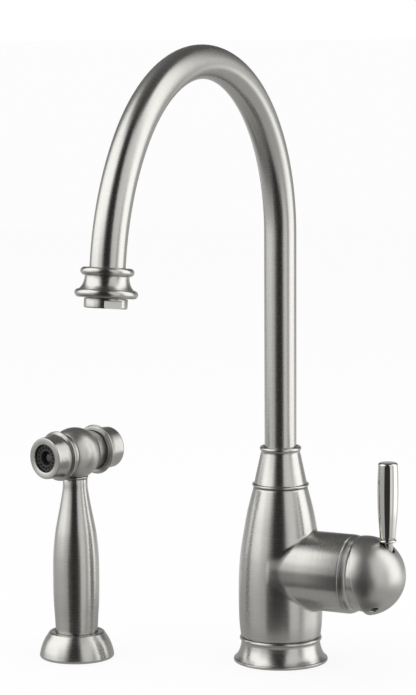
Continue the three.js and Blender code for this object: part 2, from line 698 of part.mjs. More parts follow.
/** The bent spout tube, open at both ends. */
function spoutTube() {
  const line = new SpoutLine();
  const section = new THREE.Shape();
  section.absarc(0, 0, TUBE_RADIUS, 0, 2 * Math.PI, false);
  const bore = new THREE.Path();
  bore.absarc(0, 0, TUBE_RADIUS - TUBE_WALL, 0, 2 * Math.PI, true);
  section.holes.push(bore);
  const settings = { extrudePath: line, steps: line.steps, curveSegments: SIDES / 2 };
  return new THREE.ExtrudeGeometry(section, settings);
}

/** The sleeve on the tube's foot that carries the seals and turns in the body. */
function spoutHub() {
  const outer = SPOUT_BORE - RUNNING_FIT;
  const groove = outer - 2 * ORING_SECTION;
  const lands = ORING_HEIGHTS.flatMap((height) => {
    const middle = HUB_FOOT + height;
    const half = ORING_SECTION + GAP;
    return [[outer, middle - half], [groove, middle - half], [groove, middle + half], [outer, middle + half]];
  });
  return turned([
    [HUB_WATERWAY, HUB_FOOT],
    [outer, HUB_FOOT],
    ...lands,
    [outer, HUB_TOP],
    [TUBE_RADIUS + GAP, HUB_TOP],
    [TUBE_RADIUS + GAP, HUB_TOP - HUB_SOCKET_DEPTH],
    [HUB_WATERWAY, HUB_TOP - HUB_SOCKET_DEPTH],
  ], SIDES);
}

/** The cone that holds the spout in the body: a bead at its foot, a lip round the tube at its top. */
function spoutCollar() {
  const bead = COLLAR_BEAD_THICKNESS / 2;
  const foot = BODY_TOP + GAP;
  const bore = TUBE_RADIUS + RUNNING_FIT;
  const lip = 1.5;
  return turned([
    [NECK_RADIUS + GAP, foot],
    [COLLAR_FOOT_RADIUS, foot],
    ...arc(COLLAR_BEAD_RADIUS - bead, foot + bead + 0.1, bead, -70, 75, 3),
    [COLLAR_FOOT_RADIUS - 0.1, foot + 2 * bead + 0.3],
    [COLLAR_TOP_RADIUS, COLLAR_TOP - 2 * lip - 0.6],
    ...arc(COLLAR_LIP_RADIUS - lip, COLLAR_TOP - lip, lip, -60, 130, 3),
    [bore, COLLAR_TOP - 1.6],
    [bore, NECK_TOP + 2 * GAP],
    [NECK_RADIUS + GAP, NECK_TOP + 2 * GAP],
  ]);
}

/** The turned end of the spout: a bead, a hollow flare and a larger bead, bored for the aerator. */
function spoutEndBell() {
  const upper = BELL_UPPER_RADIUS - BELL_UPPER_BEAD;
  const lower = BELL_LOWER_RADIUS - BELL_LOWER_BEAD;
  const socket = TUBE_RADIUS + GAP;
  const foot = -BELL_BEAD_SPACING - BELL_LOWER_BEAD;
  const shelf = foot + AERATOR_THREAD_LENGTH + AERATOR_WASHER_THICKNESS + GAP;
  return turned([
    [socket, -TUBE_SOCKET - GAP],
    [socket, 1.2],
    ...arc(upper, 0, BELL_UPPER_BEAD, 150, -78, 5),
    ...sweep([[BELL_THROAT_RADIUS, -BELL_UPPER_BEAD - 0.5], [BELL_FLARE_RADIUS, -BELL_FLARE_DROP],
      [BELL_SKIRT_RADIUS, -BELL_BEAD_SPACING + BELL_LOWER_BEAD - 0.2]], 4),
    ...arc(lower, -BELL_BEAD_SPACING, BELL_LOWER_BEAD, 70, -90, 4),
    [AERATOR_THREAD_RADIUS + GAP, foot],
    [AERATOR_THREAD_RADIUS + GAP, shelf],
    [TUBE_RADIUS - TUBE_WALL, shelf],
    [TUBE_RADIUS - TUBE_WALL, -TUBE_SOCKET - GAP],
  ]);
}

/** The aerator's threaded housing, with two wrench flats. */
function aeratorShell() {
  const top = -BELL_BEAD_SPACING - BELL_LOWER_BEAD - GAP;
  const bottom = top - AERATOR_LENGTH;
  const edge = 0.6;
  const housing = turned([
    [AERATOR_BORE - AERATOR_LIP, bottom],
    ...arc(AERATOR_RADIUS - edge, bottom + edge, edge, -90, 0, 2),
    [AERATOR_RADIUS, top],
    [AERATOR_THREAD_RADIUS, top],
    [AERATOR_THREAD_RADIUS, top + AERATOR_THREAD_LENGTH],
    [AERATOR_BORE, top + AERATOR_THREAD_LENGTH],
    [AERATOR_BORE, bottom + AERATOR_LIP],
    [AERATOR_BORE - AERATOR_LIP, bottom + AERATOR_LIP],
  ]);
  const flats = [-1, 1].map((side) => {
    const box = new THREE.BoxGeometry(30, 4, AERATOR_LENGTH);
    box.translate(0, side * (AERATOR_FLAT + 2), top - 1.5 - AERATOR_LENGTH / 2);
    return box.rotateZ(THREE.MathUtils.degToRad(AERATOR_FLAT_TURN));
  });
  return cut(housing, ...flats);
}

/** The aerator's insert: a plug drilled with rings of small holes. */
function aeratorInsert() {
  const top = -BELL_BEAD_SPACING - BELL_LOWER_BEAD - GAP;
  const bottom = top - AERATOR_LENGTH + AERATOR_LIP + GAP;
  const drills = [];
  for (const [count, circle] of [[1, 0], [8, 5.5]]) {
    for (let hole = 0; hole < count; hole += 1) {
      const drill = bar(AERATOR_HOLE, bottom - 1, top + AERATOR_THREAD_LENGTH + 1, 6).translate(circle, 0, 0);
      drills.push(drill.rotateZ((2 * Math.PI * hole) / count));
    }
  }
  return cut(bar(AERATOR_BORE - GAP, bottom, top + AERATOR_THREAD_LENGTH - GAP, INNER_SIDES), ...drills);
}

function aeratorWasher() {
  const bottom = -BELL_BEAD_SPACING - BELL_LOWER_BEAD - GAP + AERATOR_THREAD_LENGTH + GAP;
  const outer = AERATOR_THREAD_RADIUS - 0.1;
  return ring(AERATOR_BORE - 0.5, outer, bottom, bottom + AERATOR_WASHER_THICKNESS - GAP, INNER_SIDES);
}

function buildSpout(faucet) {
  const bushingOuter = SPOUT_BORE - RUNNING_FIT;
  const lowerBushing = ring(HUB_WATERWAY + 0.4, bushingOuter, SPOUT_BORE_FLOOR + GAP, HUB_FOOT - GAP, SIDES);
  const upperBushing = ring(TUBE_RADIUS + RUNNING_FIT, bushingOuter, HUB_TOP + GAP, NECK_TOP - GAP, SIDES);
  place(faucet, 'lower_bushing', lowerBushing, whitePlastic);
  place(faucet, 'upper_bushing', upperBushing, whitePlastic);
  place(faucet, 'spout_collar', spoutCollar(), brushedNickel);

  const spout = new THREE.Group();
  place(spout, 'spout_tube', spoutTube(), brushedNickel);
  place(spout, 'spout_hub', spoutHub(), turnedBrass);
  const [lowerOring, upperOring] = ORING_HEIGHTS;
  for (const [name, height] of [['lower_spout_oring', lowerOring], ['upper_spout_oring', upperOring]]) {
    const middle = SPOUT_BORE - RUNNING_FIT - ORING_SECTION + 0.1;
    const section = arc(middle, HUB_FOOT + height, ORING_SECTION, 0, 360 - 360 / HOLE_SIDES, HOLE_SIDES - 1);
    place(spout, name, turned(section, SIDES), blackRubber);
  }
  faucet.add(spout);

  const end = new THREE.Group();
  const line = new SpoutLine();
  const socketShare = TUBE_SOCKET / (OUTLET_STRAIGHT + TUBE_SOCKET);
  end.position.copy(line.getPoint(1 - socketShare / line.steps));
  end.rotation.x = -THREE.MathUtils.degToRad(OUTLET_LEAN);
  place(end, 'spout_end_bell', spoutEndBell(), brushedNickel);
  place(end, 'aerator_shell', aeratorShell(), brushedNickel);
  place(end, 'aerator_insert', aeratorInsert(), whitePlastic);
  place(end, 'aerator_washer', aeratorWasher(), blackRubber);
  spout.add(end);
}

// ---------------------------------------------------------------------------------------------
// Valve: measured from the ball's centre, outboard along +X, up along +Z
// ---------------------------------------------------------------------------------------------

/** Drills along X for the hot, cold and mixed ports. */
function portDrills(radius, from, to) {
  return [HOT_PORT, COLD_PORT, MIXED_PORT].map(([y, z]) => alongX(bar(radius, from, to)).translate(0, y, z));
}

function cartridgeSeal() {
  const back = BARREL_FLOOR + GAP;
  const front = back + CARTRIDGE_SEAL_THICKNESS;
  const disc = alongX(bar(CARTRIDGE_RADIUS - GAP, back, front, INNER_SIDES));
  return cut(disc, ...portDrills(WATERWAY_RADIUS, back - 1, front + 1));
}

function cartridgeBase() {
  const back = CARTRIDGE_BACK;
  const front = CARTRIDGE_FOOT - GAP;
  const plug = alongX(turned([
    [0, back],
    [CARTRIDGE_RADIUS, back],
    [CARTRIDGE_RADIUS, front - 0.8],
    [CARTRIDGE_RADIUS - CARTRIDGE_WALL - GAP, front - 0.8],
    [CARTRIDGE_RADIUS - CARTRIDGE_WALL - GAP, front],
    [0, front],
  ], SIDES));
  return cut(plug, ...portDrills(WATERWAY_RADIUS, back - 1, front + 1));
}

/** The fixed ceramic disc, with its three ports. */
function fixedDisc() {
  const back = CARTRIDGE_FOOT;
  const front = back + DISC_THICKNESS;
  const disc = alongX(bar(CARTRIDGE_RADIUS - CARTRIDGE_WALL - GAP, back, front, SIDES));
  return cut(disc, ...portDrills(WATERWAY_RADIUS - 0.2, back - 1, front + 1));
}

/** The moving ceramic disc, with the pocket that joins the ports. */
function movingDisc() {
  const back = CARTRIDGE_FOOT + DISC_THICKNESS + GAP;
  const disc = alongX(bar(MOVING_DISC_RADIUS, back, back + DISC_THICKNESS, INNER_SIDES));
  const pocket = alongX(bar(5.5, back - 1, back + 1.4, HOLE_SIDES));
  return cut(disc, pocket).translate(0, 0, DISC_REST_OFFSET);
}

/** The carrier that the stem's tip moves, with its socket. */
function discCarrier() {
  const back = CARTRIDGE_FOOT + 2 * DISC_THICKNESS + 2 * GAP;
  const front = back + CARRIER_THICKNESS;
  const disc = alongX(bar(CARRIER_RADIUS, back, front, INNER_SIDES));
  const socket = alongX(bar(STEM_TIP_RADIUS + RUNNING_FIT, back + 0.4, front + 1, INNER_SIDES));
  return cut(disc, socket).translate(0, 0, DISC_REST_OFFSET);
}

/** The cartridge's housing: a cup for the discs and a neck for the turning piece. */
function cartridgeHousing() {
  const inner = CARTRIDGE_RADIUS - CARTRIDGE_WALL;
  const neckBore = ROTOR_RADIUS + GAP;
  return alongX(turned([
    [inner, CARTRIDGE_FOOT - GAP],
    [CARTRIDGE_RADIUS, CARTRIDGE_FOOT - GAP],
    [CARTRIDGE_RADIUS, -CARTRIDGE_SHOULDER],
    [CARTRIDGE_NECK_RADIUS, -CARTRIDGE_SHOULDER],
    [CARTRIDGE_NECK_RADIUS, CARTRIDGE_NOSE],
    [neckBore, CARTRIDGE_NOSE],
    [neckBore, -CARTRIDGE_SHOULDER - CARTRIDGE_PLATE],
    [inner, -CARTRIDGE_SHOULDER - CARTRIDGE_PLATE],
  ], SIDES));
}

function cartridgeNut() {
  const back = -CARTRIDGE_SHOULDER + GAP;
  const front = back + CARTRIDGE_NUT_LENGTH;
  const inner = CARTRIDGE_NUT_RADIUS - CARTRIDGE_NUT_WALL;
  return alongX(turned([
    [CARTRIDGE_NECK_RADIUS + GAP, back],
    [CARTRIDGE_NUT_RADIUS, back],
    [CARTRIDGE_NUT_RADIUS, front],
    [inner, front],
    [inner, front - 3],
    [CARTRIDGE_NECK_RADIUS + GAP, front - 3],
  ], SIDES));
}

/** The turning piece: slotted for the stem, so the lever can tilt in it and turn it. */
function cartridgeRotor() {
  const back = -STEM_ARM + CARRIER_THICKNESS / 2 + GAP;
  const front = CARTRIDGE_NOSE - 0.2;
  const body = alongX(bar(ROTOR_RADIUS, back, front, SIDES));
  const slot = new THREE.BoxGeometry(2 * STEM_ARM, 2 * STEM_RADIUS + 2 * RUNNING_FIT, ROTOR_SLOT);
  const pinHole = bar(PIN_RADIUS + GAP, -ROTOR_RADIUS - 1, ROTOR_RADIUS + 1).rotateX(Math.PI / 2);
  return cut(body, slot, pinHole);
}

function stemPin() {
  return bar(PIN_RADIUS, -ROTOR_RADIUS + 0.8, ROTOR_RADIUS - 0.8).rotateX(Math.PI / 2);
}

/** A square bar along the stem, turned so that the hub screw meets one of its flats. */
function stemSquare(width, from, to) {
  const square = new THREE.BoxGeometry(width, width, to - from).translate(0, 0, (from + to) / 2);
  return square.rotateZ(-THREE.MathUtils.degToRad(HUB_SCREW_TURN));
}

/** The stem: a tip ball in the carrier, an eye on the pin, and a square end for the hub. */
function cartridgeStem() {
  const rod = turned([
    ...arc(0, -STEM_ARM, STEM_TIP_RADIUS, -90, 50, 6).map(([r, z]) => [Math.max(r, 0), z]),
    [1.7, -STEM_ARM + 4],
    [STEM_RADIUS, -6],
    [STEM_RADIUS, STEM_SQUARE_START + 1],
    [0, STEM_SQUARE_START + 1],
  ], INNER_SIDES);
  const square = stemSquare(STEM_SQUARE, STEM_SQUARE_START, STEM_REACH);
  const eye = bar(PIN_RADIUS + GAP, -6, 6).rotateX(Math.PI / 2);
  return alongStem(cut(join(rod, square), eye));
}

/** The ring that closes the barrel, with the dome that the ball hub rocks over. */
function valveTrimRing() {
  const back = BARREL_END - BALL_CENTRE + GAP;
  const domeStart = THREE.MathUtils.radToDeg(Math.asin((1 - TRIM_SHOULDER) / DOME_RADIUS));
  const domeEnd = THREE.MathUtils.radToDeg(Math.asin(DOME_REACH / DOME_RADIUS));
  const inner = DOME_RADIUS - DOME_WALL;
  const innerEnd = THREE.MathUtils.radToDeg(Math.asin(DOME_REACH / inner));
  return alongX(turned([
    [CARTRIDGE_NUT_RADIUS + GAP, back],
    [BARREL_RADIUS - 0.6, back],
    [BARREL_RADIUS - 0.1, back + 0.4],
    [BARREL_RADIUS - 0.5, back + 1.4],
    [TRIM_SHOULDER_RADIUS, -TRIM_SHOULDER],
    ...arc(0, 0, DOME_RADIUS, domeStart, domeEnd, 5),
    ...arc(0, 0, inner, innerEnd, domeStart, 3),
    [CARTRIDGE_NUT_RADIUS + GAP, 1 - TRIM_SHOULDER],
  ]));
}

/** The ball hub: a shell with a boss for the stem, a mouth for the lever and a hole for its screw. */
function handleBall() {
  const rimAngle = THREE.MathUtils.radToDeg(Math.asin(BALL_RIM / BALL_RADIUS));
  const inner = BALL_RADIUS - BALL_WALL;
  const innerRim = THREE.MathUtils.radToDeg(Math.asin(BALL_RIM / inner));
  const shell = alongStem(turned([
    ...arc(0, 0, BALL_RADIUS, rimAngle, 90, 7),
    ...arc(0, 0, inner, 90, innerRim, 6),
  ].map(([r, z]) => [r < 1e-9 ? 0 : r, z])));
  const bossEnd = inner + BALL_WALL / 2;
  const boss = alongStem(turned([
    [0, HUB_BOSS_START],
    [HUB_BOSS_RADIUS, HUB_BOSS_START],
    [HUB_BOSS_RADIUS, Math.sqrt(bossEnd ** 2 - HUB_BOSS_RADIUS ** 2)],
    [0, bossEnd],
  ], INNER_SIDES));
  const socket = stemSquare(STEM_SQUARE + 2 * GAP, 0, STEM_REACH + GAP);
  const neckBore = bar(LEVER_NECK_RADIUS + GAP, LEVER_NECK_FOOT - GAP, 2 * BALL_RADIUS, INNER_SIDES);
  const mouth = bar(LEVER_MOUTH_RADIUS, 13, 2 * BALL_RADIUS, INNER_SIDES);
  const ringSeat = bar(LEVER_RING_RADIUS + GAP, LEVER_RING_HEIGHT - GAP, 2 * BALL_RADIUS, INNER_SIDES);
  return cut(
    join(shell, boss),
    alongStem(socket),
    neckBore.translate(LEVER_OFFSET, 0, 0),
    mouth.translate(LEVER_OFFSET, 0, 0),
    ringSeat.translate(LEVER_OFFSET, 0, 0),
    alongScrew(bar(HUB_SCREW_RADIUS + GAP, 0, BALL_RADIUS)),
    alongScrew(bar(HUB_SCREW_ACCESS, HUB_BOSS_RADIUS + 1, 2 * BALL_RADIUS, INNER_SIDES)),
  );
}

/** Lays a shape turned round Z along the hub screw, which stands square to the stem. */
function alongScrew(geometry) {
  geometry.rotateY(Math.PI / 2);
  geometry.rotateZ(-THREE.MathUtils.degToRad(HUB_SCREW_TURN));
  geometry.translate(0, 0, HUB_SCREW_STATION);
  return alongStem(geometry);
}

function hubScrew() {
  const start = STEM_SQUARE / 2 + GAP;
  const key = new THREE.CylinderGeometry(1.3, 1.3, 4, 6).rotateX(Math.PI / 2);
  key.translate(0, 0, start + HUB_SCREW_LENGTH);
  return alongScrew(cut(bar(HUB_SCREW_RADIUS, start, start + HUB_SCREW_LENGTH), key));
}

/** The lever's rod: foot in the hub, ring under the grip, and stud inside it. */
function leverNeck() {
  const ringTop = LEVER_RING_HEIGHT + LEVER_RING_THICKNESS;
  const half = LEVER_RING_THICKNESS / 2;
  return turned([
    [0, LEVER_NECK_FOOT],
    [LEVER_NECK_RADIUS, LEVER_NECK_FOOT],
    [LEVER_NECK_RADIUS, LEVER_RING_HEIGHT],
    ...arc(LEVER_RING_RADIUS - half, LEVER_RING_HEIGHT + half, half, -90, 90, 4),
    [LEVER_STUD_RADIUS, ringTop],
    [LEVER_STUD_RADIUS, ringTop + LEVER_STUD_LENGTH],
    [0, ringTop + LEVER_STUD_LENGTH],
  ], INNER_SIDES).translate(LEVER_OFFSET, 0, 0);
}

/** The lever's grip: slender, bellied towards its top, with a rounded top edge. */
function leverGrip() {
  const top = GRIP_FOOT + GRIP_LENGTH;
  const edge = 1.3;
  const bore = LEVER_STUD_RADIUS + GAP;
  const boreTop = GRIP_FOOT + LEVER_STUD_LENGTH;
  return turned([
    [0, boreTop],
    [bore, boreTop],
    [bore, GRIP_FOOT],
    ...sweep([[GRIP_FOOT_RADIUS, GRIP_FOOT], [GRIP_WAIST_RADIUS, GRIP_FOOT + GRIP_WAIST_HEIGHT],
      [GRIP_BELLY_RADIUS, GRIP_FOOT + GRIP_BELLY_HEIGHT], [GRIP_TOP_RADIUS, top - edge]], 6),
    ...arc(GRIP_TOP_RADIUS - edge, top - edge, edge, 20, 80, 3),
    [0, top],
  ]).translate(LEVER_OFFSET, 0, 0);
}

function buildValve(faucet) {
  const valve = new THREE.Group();
  valve.position.set(BALL_CENTRE, 0, BARREL_HEIGHT);
  place(valve, 'cartridge_seal', cartridgeSeal(), blackRubber);
  place(valve, 'cartridge_base', cartridgeBase(), greyPlastic);
  place(valve, 'fixed_disc', fixedDisc(), ceramic);
  place(valve, 'moving_disc', movingDisc(), ceramic);
  place(valve, 'disc_carrier', discCarrier(), greyPlastic);
  place(valve, 'cartridge_housing', cartridgeHousing(), whitePlastic);
  place(valve, 'cartridge_nut', cartridgeNut(), turnedBrass);
  place(valve, 'cartridge_rotor', cartridgeRotor(), greyPlastic);
  place(valve, 'stem_pin', stemPin(), steel);
  place(valve, 'cartridge_stem', cartridgeStem(), steel);
  place(valve, 'valve_trim_ring', valveTrimRing(), brushedNickel);
  place(valve, 'handle_ball', handleBall(), brushedNickel);
  place(valve, 'hub_screw', hubScrew(), steel);
  place(valve, 'lever_neck', leverNeck(), polishedNickel);
  place(valve, 'lever_grip', leverGrip(), polishedNickel);
  faucet.add(valve);
}

// ---------------------------------------------------------------------------------------------
// Spray holder
// ---------------------------------------------------------------------------------------------

/** The bell-shaped holder: a flat top with the handle's seat, and a hollow underside. */
function sprayHolder() {
  const recess = GASKET_THICKNESS + GAP;
  const seat = HOLDER_HEIGHT - HOLDER_SEAT_DEPTH;
  const edgeHeight = HOLDER_HEIGHT - HOLDER_EDGE;
  return turned([
    [HOLDER_RECESS_RADIUS, 0],
    [HOLDER_RADIUS - 0.7, 0],
    [HOLDER_RADIUS, 0.8],
    ...sweep([[HOLDER_RADIUS, HOLDER_RIM_HEIGHT], [HOLDER_FLANK_RADIUS, HOLDER_FLANK_HEIGHT],
      [HOLDER_SHOULDER_RADIUS, edgeHeight - 0.4]], 4),
    ...arc(HOLDER_SHOULDER_RADIUS - 2.3, edgeHeight, HOLDER_EDGE, 40, 90, 2),
    [HOLDER_SEAT_RADIUS, HOLDER_HEIGHT],
    [HOLDER_SEAT_RADIUS, seat],
    [HOLDER_BORE, seat],
    [HOLDER_BORE, recess],
    [HOLDER_GROOVE_INNER, recess],
    [HOLDER_GROOVE_INNER, HOLDER_GROOVE_TOP],
    [HOLDER_GROOVE_OUTER - HOLDER_GROOVE_TAPER, HOLDER_GROOVE_TOP],
    [HOLDER_GROOVE_OUTER, recess],
    [HOLDER_RECESS_RADIUS, recess],
  ]);
}

function buildSprayHolder(stand) {
  const shankRadius = HOLDER_BORE - GAP;
  const linerTop = HOLDER_HEIGHT - HOLDER_SEAT_DEPTH - GAP;
  const linerFoot = linerTop - HOLDER_LINER_HEIGHT;
  const washerTop = -DECK_THICKNESS;
  const nutTop = washerTop - HOLDER_WASHER_THICKNESS - GAP;
  const bore = shankRadius + RUNNING_FIT;
  const gasket = ring(bore, HOLDER_RECESS_RADIUS - RUNNING_FIT, 0, GASKET_THICKNESS, SIDES);
  const shank = ring(HOLDER_SHANK_BORE, shankRadius, -HOLDER_SHANK_LENGTH, linerFoot - GAP, SIDES);
  const liner = ring(HOLDER_SHANK_BORE, shankRadius, linerFoot, linerTop, SIDES);
  const washer = ring(bore, HOLDER_WASHER_RADIUS, washerTop - HOLDER_WASHER_THICKNESS, washerTop, SIDES);
  const nut = flangedNut(HOLDER_NUT_FLATS, HOLDER_WASHER_RADIUS - 0.5, bore, nutTop, HOLDER_NUT_HEIGHT);
  place(stand, 'spray_holder', sprayHolder(), brushedNickel);
  place(stand, 'holder_gasket', gasket, blackRubber);
  place(stand, 'holder_shank', shank, turnedBrass);
  place(stand, 'holder_liner', liner, whitePlastic);
  place(stand, 'holder_washer', washer, blackRubber);
  place(stand, 'holder_nut', nut, turnedBrass);
}

// ---------------------------------------------------------------------------------------------
// Hand spray
// ---------------------------------------------------------------------------------------------

/** The turned handle: a slim waist over a long belly, with the waterway and the hose coupling's socket. */
function sprayHandle() {
  const top = HANDLE_SOCKET_TOP;
  return turned([
    [HANDLE_SOCKET_RADIUS, HANDLE_FOOT],
    [HANDLE_FOOT_RADIUS, HANDLE_FOOT],
    ...sweep([[HANDLE_FOOT_RADIUS, HANDLE_FOOT + 0.4], [HANDLE_BELLY_RADIUS, HANDLE_BELLY_HEIGHT],
      [HANDLE_GRIP_RADIUS, HANDLE_GRIP_HEIGHT], [HANDLE_TAPER_RADIUS, HANDLE_TAPER_HEIGHT],
      [HANDLE_WAIST_RADIUS, HANDLE_TOP - HANDLE_WAIST_LENGTH]], 8),
    [HANDLE_WAIST_RADIUS, HANDLE_TOP - 0.4],
    [HANDLE_WAIST_RADIUS - 0.4, HANDLE_TOP],
    [HANDLE_WATERWAY, HANDLE_TOP],
    [HANDLE_WATERWAY, top],
    [HANDLE_SOCKET_RADIUS, top],
  ]);
}

function handleCollar() {
  const bottom = HANDLE_TOP + GAP;
  const half = COLLAR_RING_HEIGHT / 2;
  return turned([
    [HANDLE_WATERWAY, bottom],
    [COLLAR_RING_RADIUS - half, bottom],
    ...arc(COLLAR_RING_RADIUS - half, bottom + half, half, -60, 60, 3),
    [COLLAR_RING_RADIUS - half, bottom + COLLAR_RING_HEIGHT],
    [HANDLE_WATERWAY, bottom + COLLAR_RING_HEIGHT],
  ]);
}

/** The fitting that joins the hose to the handle, and slides in the holder's liner. */
function hoseCoupling() {
  const tail = HANDLE_FOOT - COUPLING_TAIL;
  const top = HANDLE_SOCKET_TOP - COUPLING_WASHER_THICKNESS - 2 * GAP;
  return turned([
    [COUPLING_BORE, tail],
    [5.5, tail],
    [COUPLING_RADIUS, tail + 9],
    [COUPLING_RADIUS, top],
    [COUPLING_BORE, top],
  ], SIDES);
}

/** The head's body: a ball with a neck behind, a spigot in front and a stub on the handle's collar. */
function sprayHead() {
  const neckJoin = Math.sqrt(HEAD_BALL_RADIUS ** 2 - (HEAD_NECK_RADIUS + 0.6) ** 2);
  const rear = THREE.MathUtils.radToDeg(Math.asin(-neckJoin / HEAD_BALL_RADIUS));
  const front = THREE.MathUtils.radToDeg(Math.asin(HEAD_FRONT / HEAD_BALL_RADIUS));
  const body = turned([
    [0, -HEAD_NECK_END],
    [HEAD_NECK_RADIUS, -HEAD_NECK_END],
    [HEAD_NECK_RADIUS, -neckJoin - 0.1],
    ...arc(0, 0, HEAD_BALL_RADIUS, rear, front, 7),
    [HEAD_SPIGOT_RADIUS, HEAD_FRONT],
    [HEAD_SPIGOT_RADIUS, HEAD_SPIGOT_END],
    [0, HEAD_SPIGOT_END],
  ]);
  const stubRadius = HANDLE_WAIST_RADIUS - 0.2;
  const stubTop = 2 - Math.sqrt(HEAD_BALL_RADIUS ** 2 - stubRadius ** 2);
  const stub = bar(stubRadius, -HEAD_AXIS_RISE, stubTop, SIDES).rotateX(-Math.PI / 2);
  const below = new THREE.BoxGeometry(50, 10, 50).translate(0, -HEAD_AXIS_RISE - 5, 0);
  const waterway = bar(HANDLE_WATERWAY, -HEAD_AXIS_RISE - 1, 0, INNER_SIDES).rotateX(-Math.PI / 2);
  return cut(
    join(body, stub),
    below,
    waterway,
    bar(CHAMBER_RADIUS, CHAMBER_FLOOR, HEAD_SPIGOT_END + 1, INNER_SIDES),
    bar(HANDLE_WATERWAY, 0, CHAMBER_FLOOR + 1, INNER_SIDES),
    bar(VALVE_STEM_RADIUS + GAP, -HEAD_NECK_END, 1, INNER_SIDES),
    bar(SPRING_RADIUS + 2.2, -HEAD_NECK_END - 1, SPRING_POCKET_FLOOR, INNER_SIDES),
  );
}

/** The flared flange that the bezel and the button share, as an outline towards larger stations. */
function flareOutline(station, cylinderRadius) {
  return [
    [cylinderRadius + 0.6, station - 5.6],
    ...sweep([[cylinderRadius + 0.8, station - 3.8], [cylinderRadius + 1.5, station - 2.2],
      [FLANGE_RADIUS - 0.5, station - 1.2]], 2),
    ...arc(FLANGE_RADIUS - 0.9, station, 0.9, -45, 45, 2),
    [FLANGE_RADIUS - 1.1, station + 1.4],
    ...sweep([[FLANGE_RADIUS - 1.4, station + 1.6], [cylinderRadius + 0.8, station + 3],
      [cylinderRadius + 0.1, station + 5.4]], 2),
  ];
}

/** The bezel: flange, cylinder and flat annular face, open for the spray face. */
function nozzleBezel() {
  const back = HEAD_FRONT + GAP;
  const threadBore = HEAD_SPIGOT_RADIUS + GAP;
  const lip = FACE_FRONT - 2.2;
  return turned([
    [threadBore, back],
    ...flareOutline(FLANGE_STATION, BEZEL_RADIUS),
    ...arc(BEZEL_RADIUS - 0.7, BEZEL_FACE - 0.7, 0.7, 0, 90, 2),
    [FACE_RADIUS + GAP, BEZEL_FACE],
    [FACE_RADIUS + GAP, lip],
    [threadBore, lip],
  ]);
}

/** The black face: a ring of jets round a deep core. */
function sprayFace() {
  const lip = FACE_FRONT - 2.2;
  const back = FACE_FRONT - FACE_DEPTH;
  const plate = turned([
    [PLUNGER_RADIUS + GAP, back],
    [FACE_FLANGE_RADIUS, back],
    [FACE_FLANGE_RADIUS, lip - GAP],
    [FACE_RADIUS, lip - GAP],
    [FACE_RADIUS, FACE_FRONT],
    [FACE_CORE_RADIUS, FACE_FRONT],
    [FACE_CORE_RADIUS, FACE_FRONT - FACE_CORE_DEPTH],
    [PLUNGER_RADIUS + GAP, FACE_FRONT - FACE_CORE_DEPTH],
  ], SIDES);
  const drills = [];
  for (let jet = 0; jet < FACE_HOLES; jet += 1) {
    const drill = bar(FACE_HOLE_RADIUS, back - 1, FACE_FRONT + 1, 4).translate(FACE_HOLE_CIRCLE, 0, 0);
    drills.push(drill.rotateZ((2 * Math.PI * jet) / FACE_HOLES));
  }
  return cut(plate, ...drills);
}

function nozzlePlunger() {
  const back = HEAD_SPIGOT_END + 2;
  const front = FACE_FRONT - 2.6;
  return turned([
    [0, back],
    [POPPET_RADIUS, back],
    [POPPET_RADIUS, back + 2],
    [PLUNGER_RADIUS, back + 3],
    [PLUNGER_RADIUS, front - 0.5],
    [PLUNGER_RADIUS - 0.5, front],
    [0, front],
  ], INNER_SIDES);
}

function valveSeat() {
  return ring(4, CHAMBER_RADIUS - GAP, CHAMBER_FLOOR + GAP, CHAMBER_FLOOR + GAP + VALVE_SEAT_THICKNESS);
}

/** The spray valve's stem, from the button to the poppet in front of the seat. */
function valveStem() {
  const poppet = CHAMBER_FLOOR + 2 * GAP + VALVE_SEAT_THICKNESS;
  return turned([
    [0, BUTTON_FLOOR + 1.3],
    [VALVE_STEM_RADIUS, BUTTON_FLOOR + 1.3],
    [VALVE_STEM_RADIUS, poppet],
    [POPPET_RADIUS, poppet],
    [POPPET_RADIUS - 0.5, poppet + 2],
    [0, poppet + 2],
  ], INNER_SIDES);
}

/** The thumb button: the same flange and cylinder as the bezel, with a rounded closed end. */
function sprayButton() {
  const bore = HEAD_NECK_RADIUS + RUNNING_FIT;
  const mouth = -HEAD_NECK_END + 0.3;
  const station = -BUTTON_FLANGE_STATION;
  const edge = 2.2;
  const shelf = -HEAD_NECK_END - BUTTON_TRAVEL - 0.8;
  const springWell = SPRING_RADIUS + 4;
  const socketWall = VALVE_STEM_RADIUS + 3;
  return turned([
    [0, -BUTTON_END],
    [BUTTON_RADIUS - edge - 4, -BUTTON_END + 0.2],
    ...arc(BUTTON_RADIUS - edge, -BUTTON_END + 0.6 + edge, edge, -80, 0, 3),
    ...sweep([[BUTTON_RADIUS + 0.1, station - 5.4], [BUTTON_RADIUS + 0.8, station - 3],
      [FLANGE_RADIUS - 1.4, station - 1.6]], 2),
    [FLANGE_RADIUS - 1.1, station - 1.4],
    ...arc(FLANGE_RADIUS - 0.9, station, 0.9, -45, 45, 2),
    [FLANGE_RADIUS - 1, mouth],
    [bore, mouth],
    [bore, shelf],
    [springWell, shelf - 2],
    [springWell, BUTTON_FLOOR],
    [socketWall, BUTTON_FLOOR],
    [socketWall, BUTTON_FLOOR + 5],
    [VALVE_STEM_RADIUS + GAP, BUTTON_FLOOR + 5],
    [VALVE_STEM_RADIUS + GAP, BUTTON_FLOOR + 1],
    [0, BUTTON_FLOOR + 1],
  ]);
}

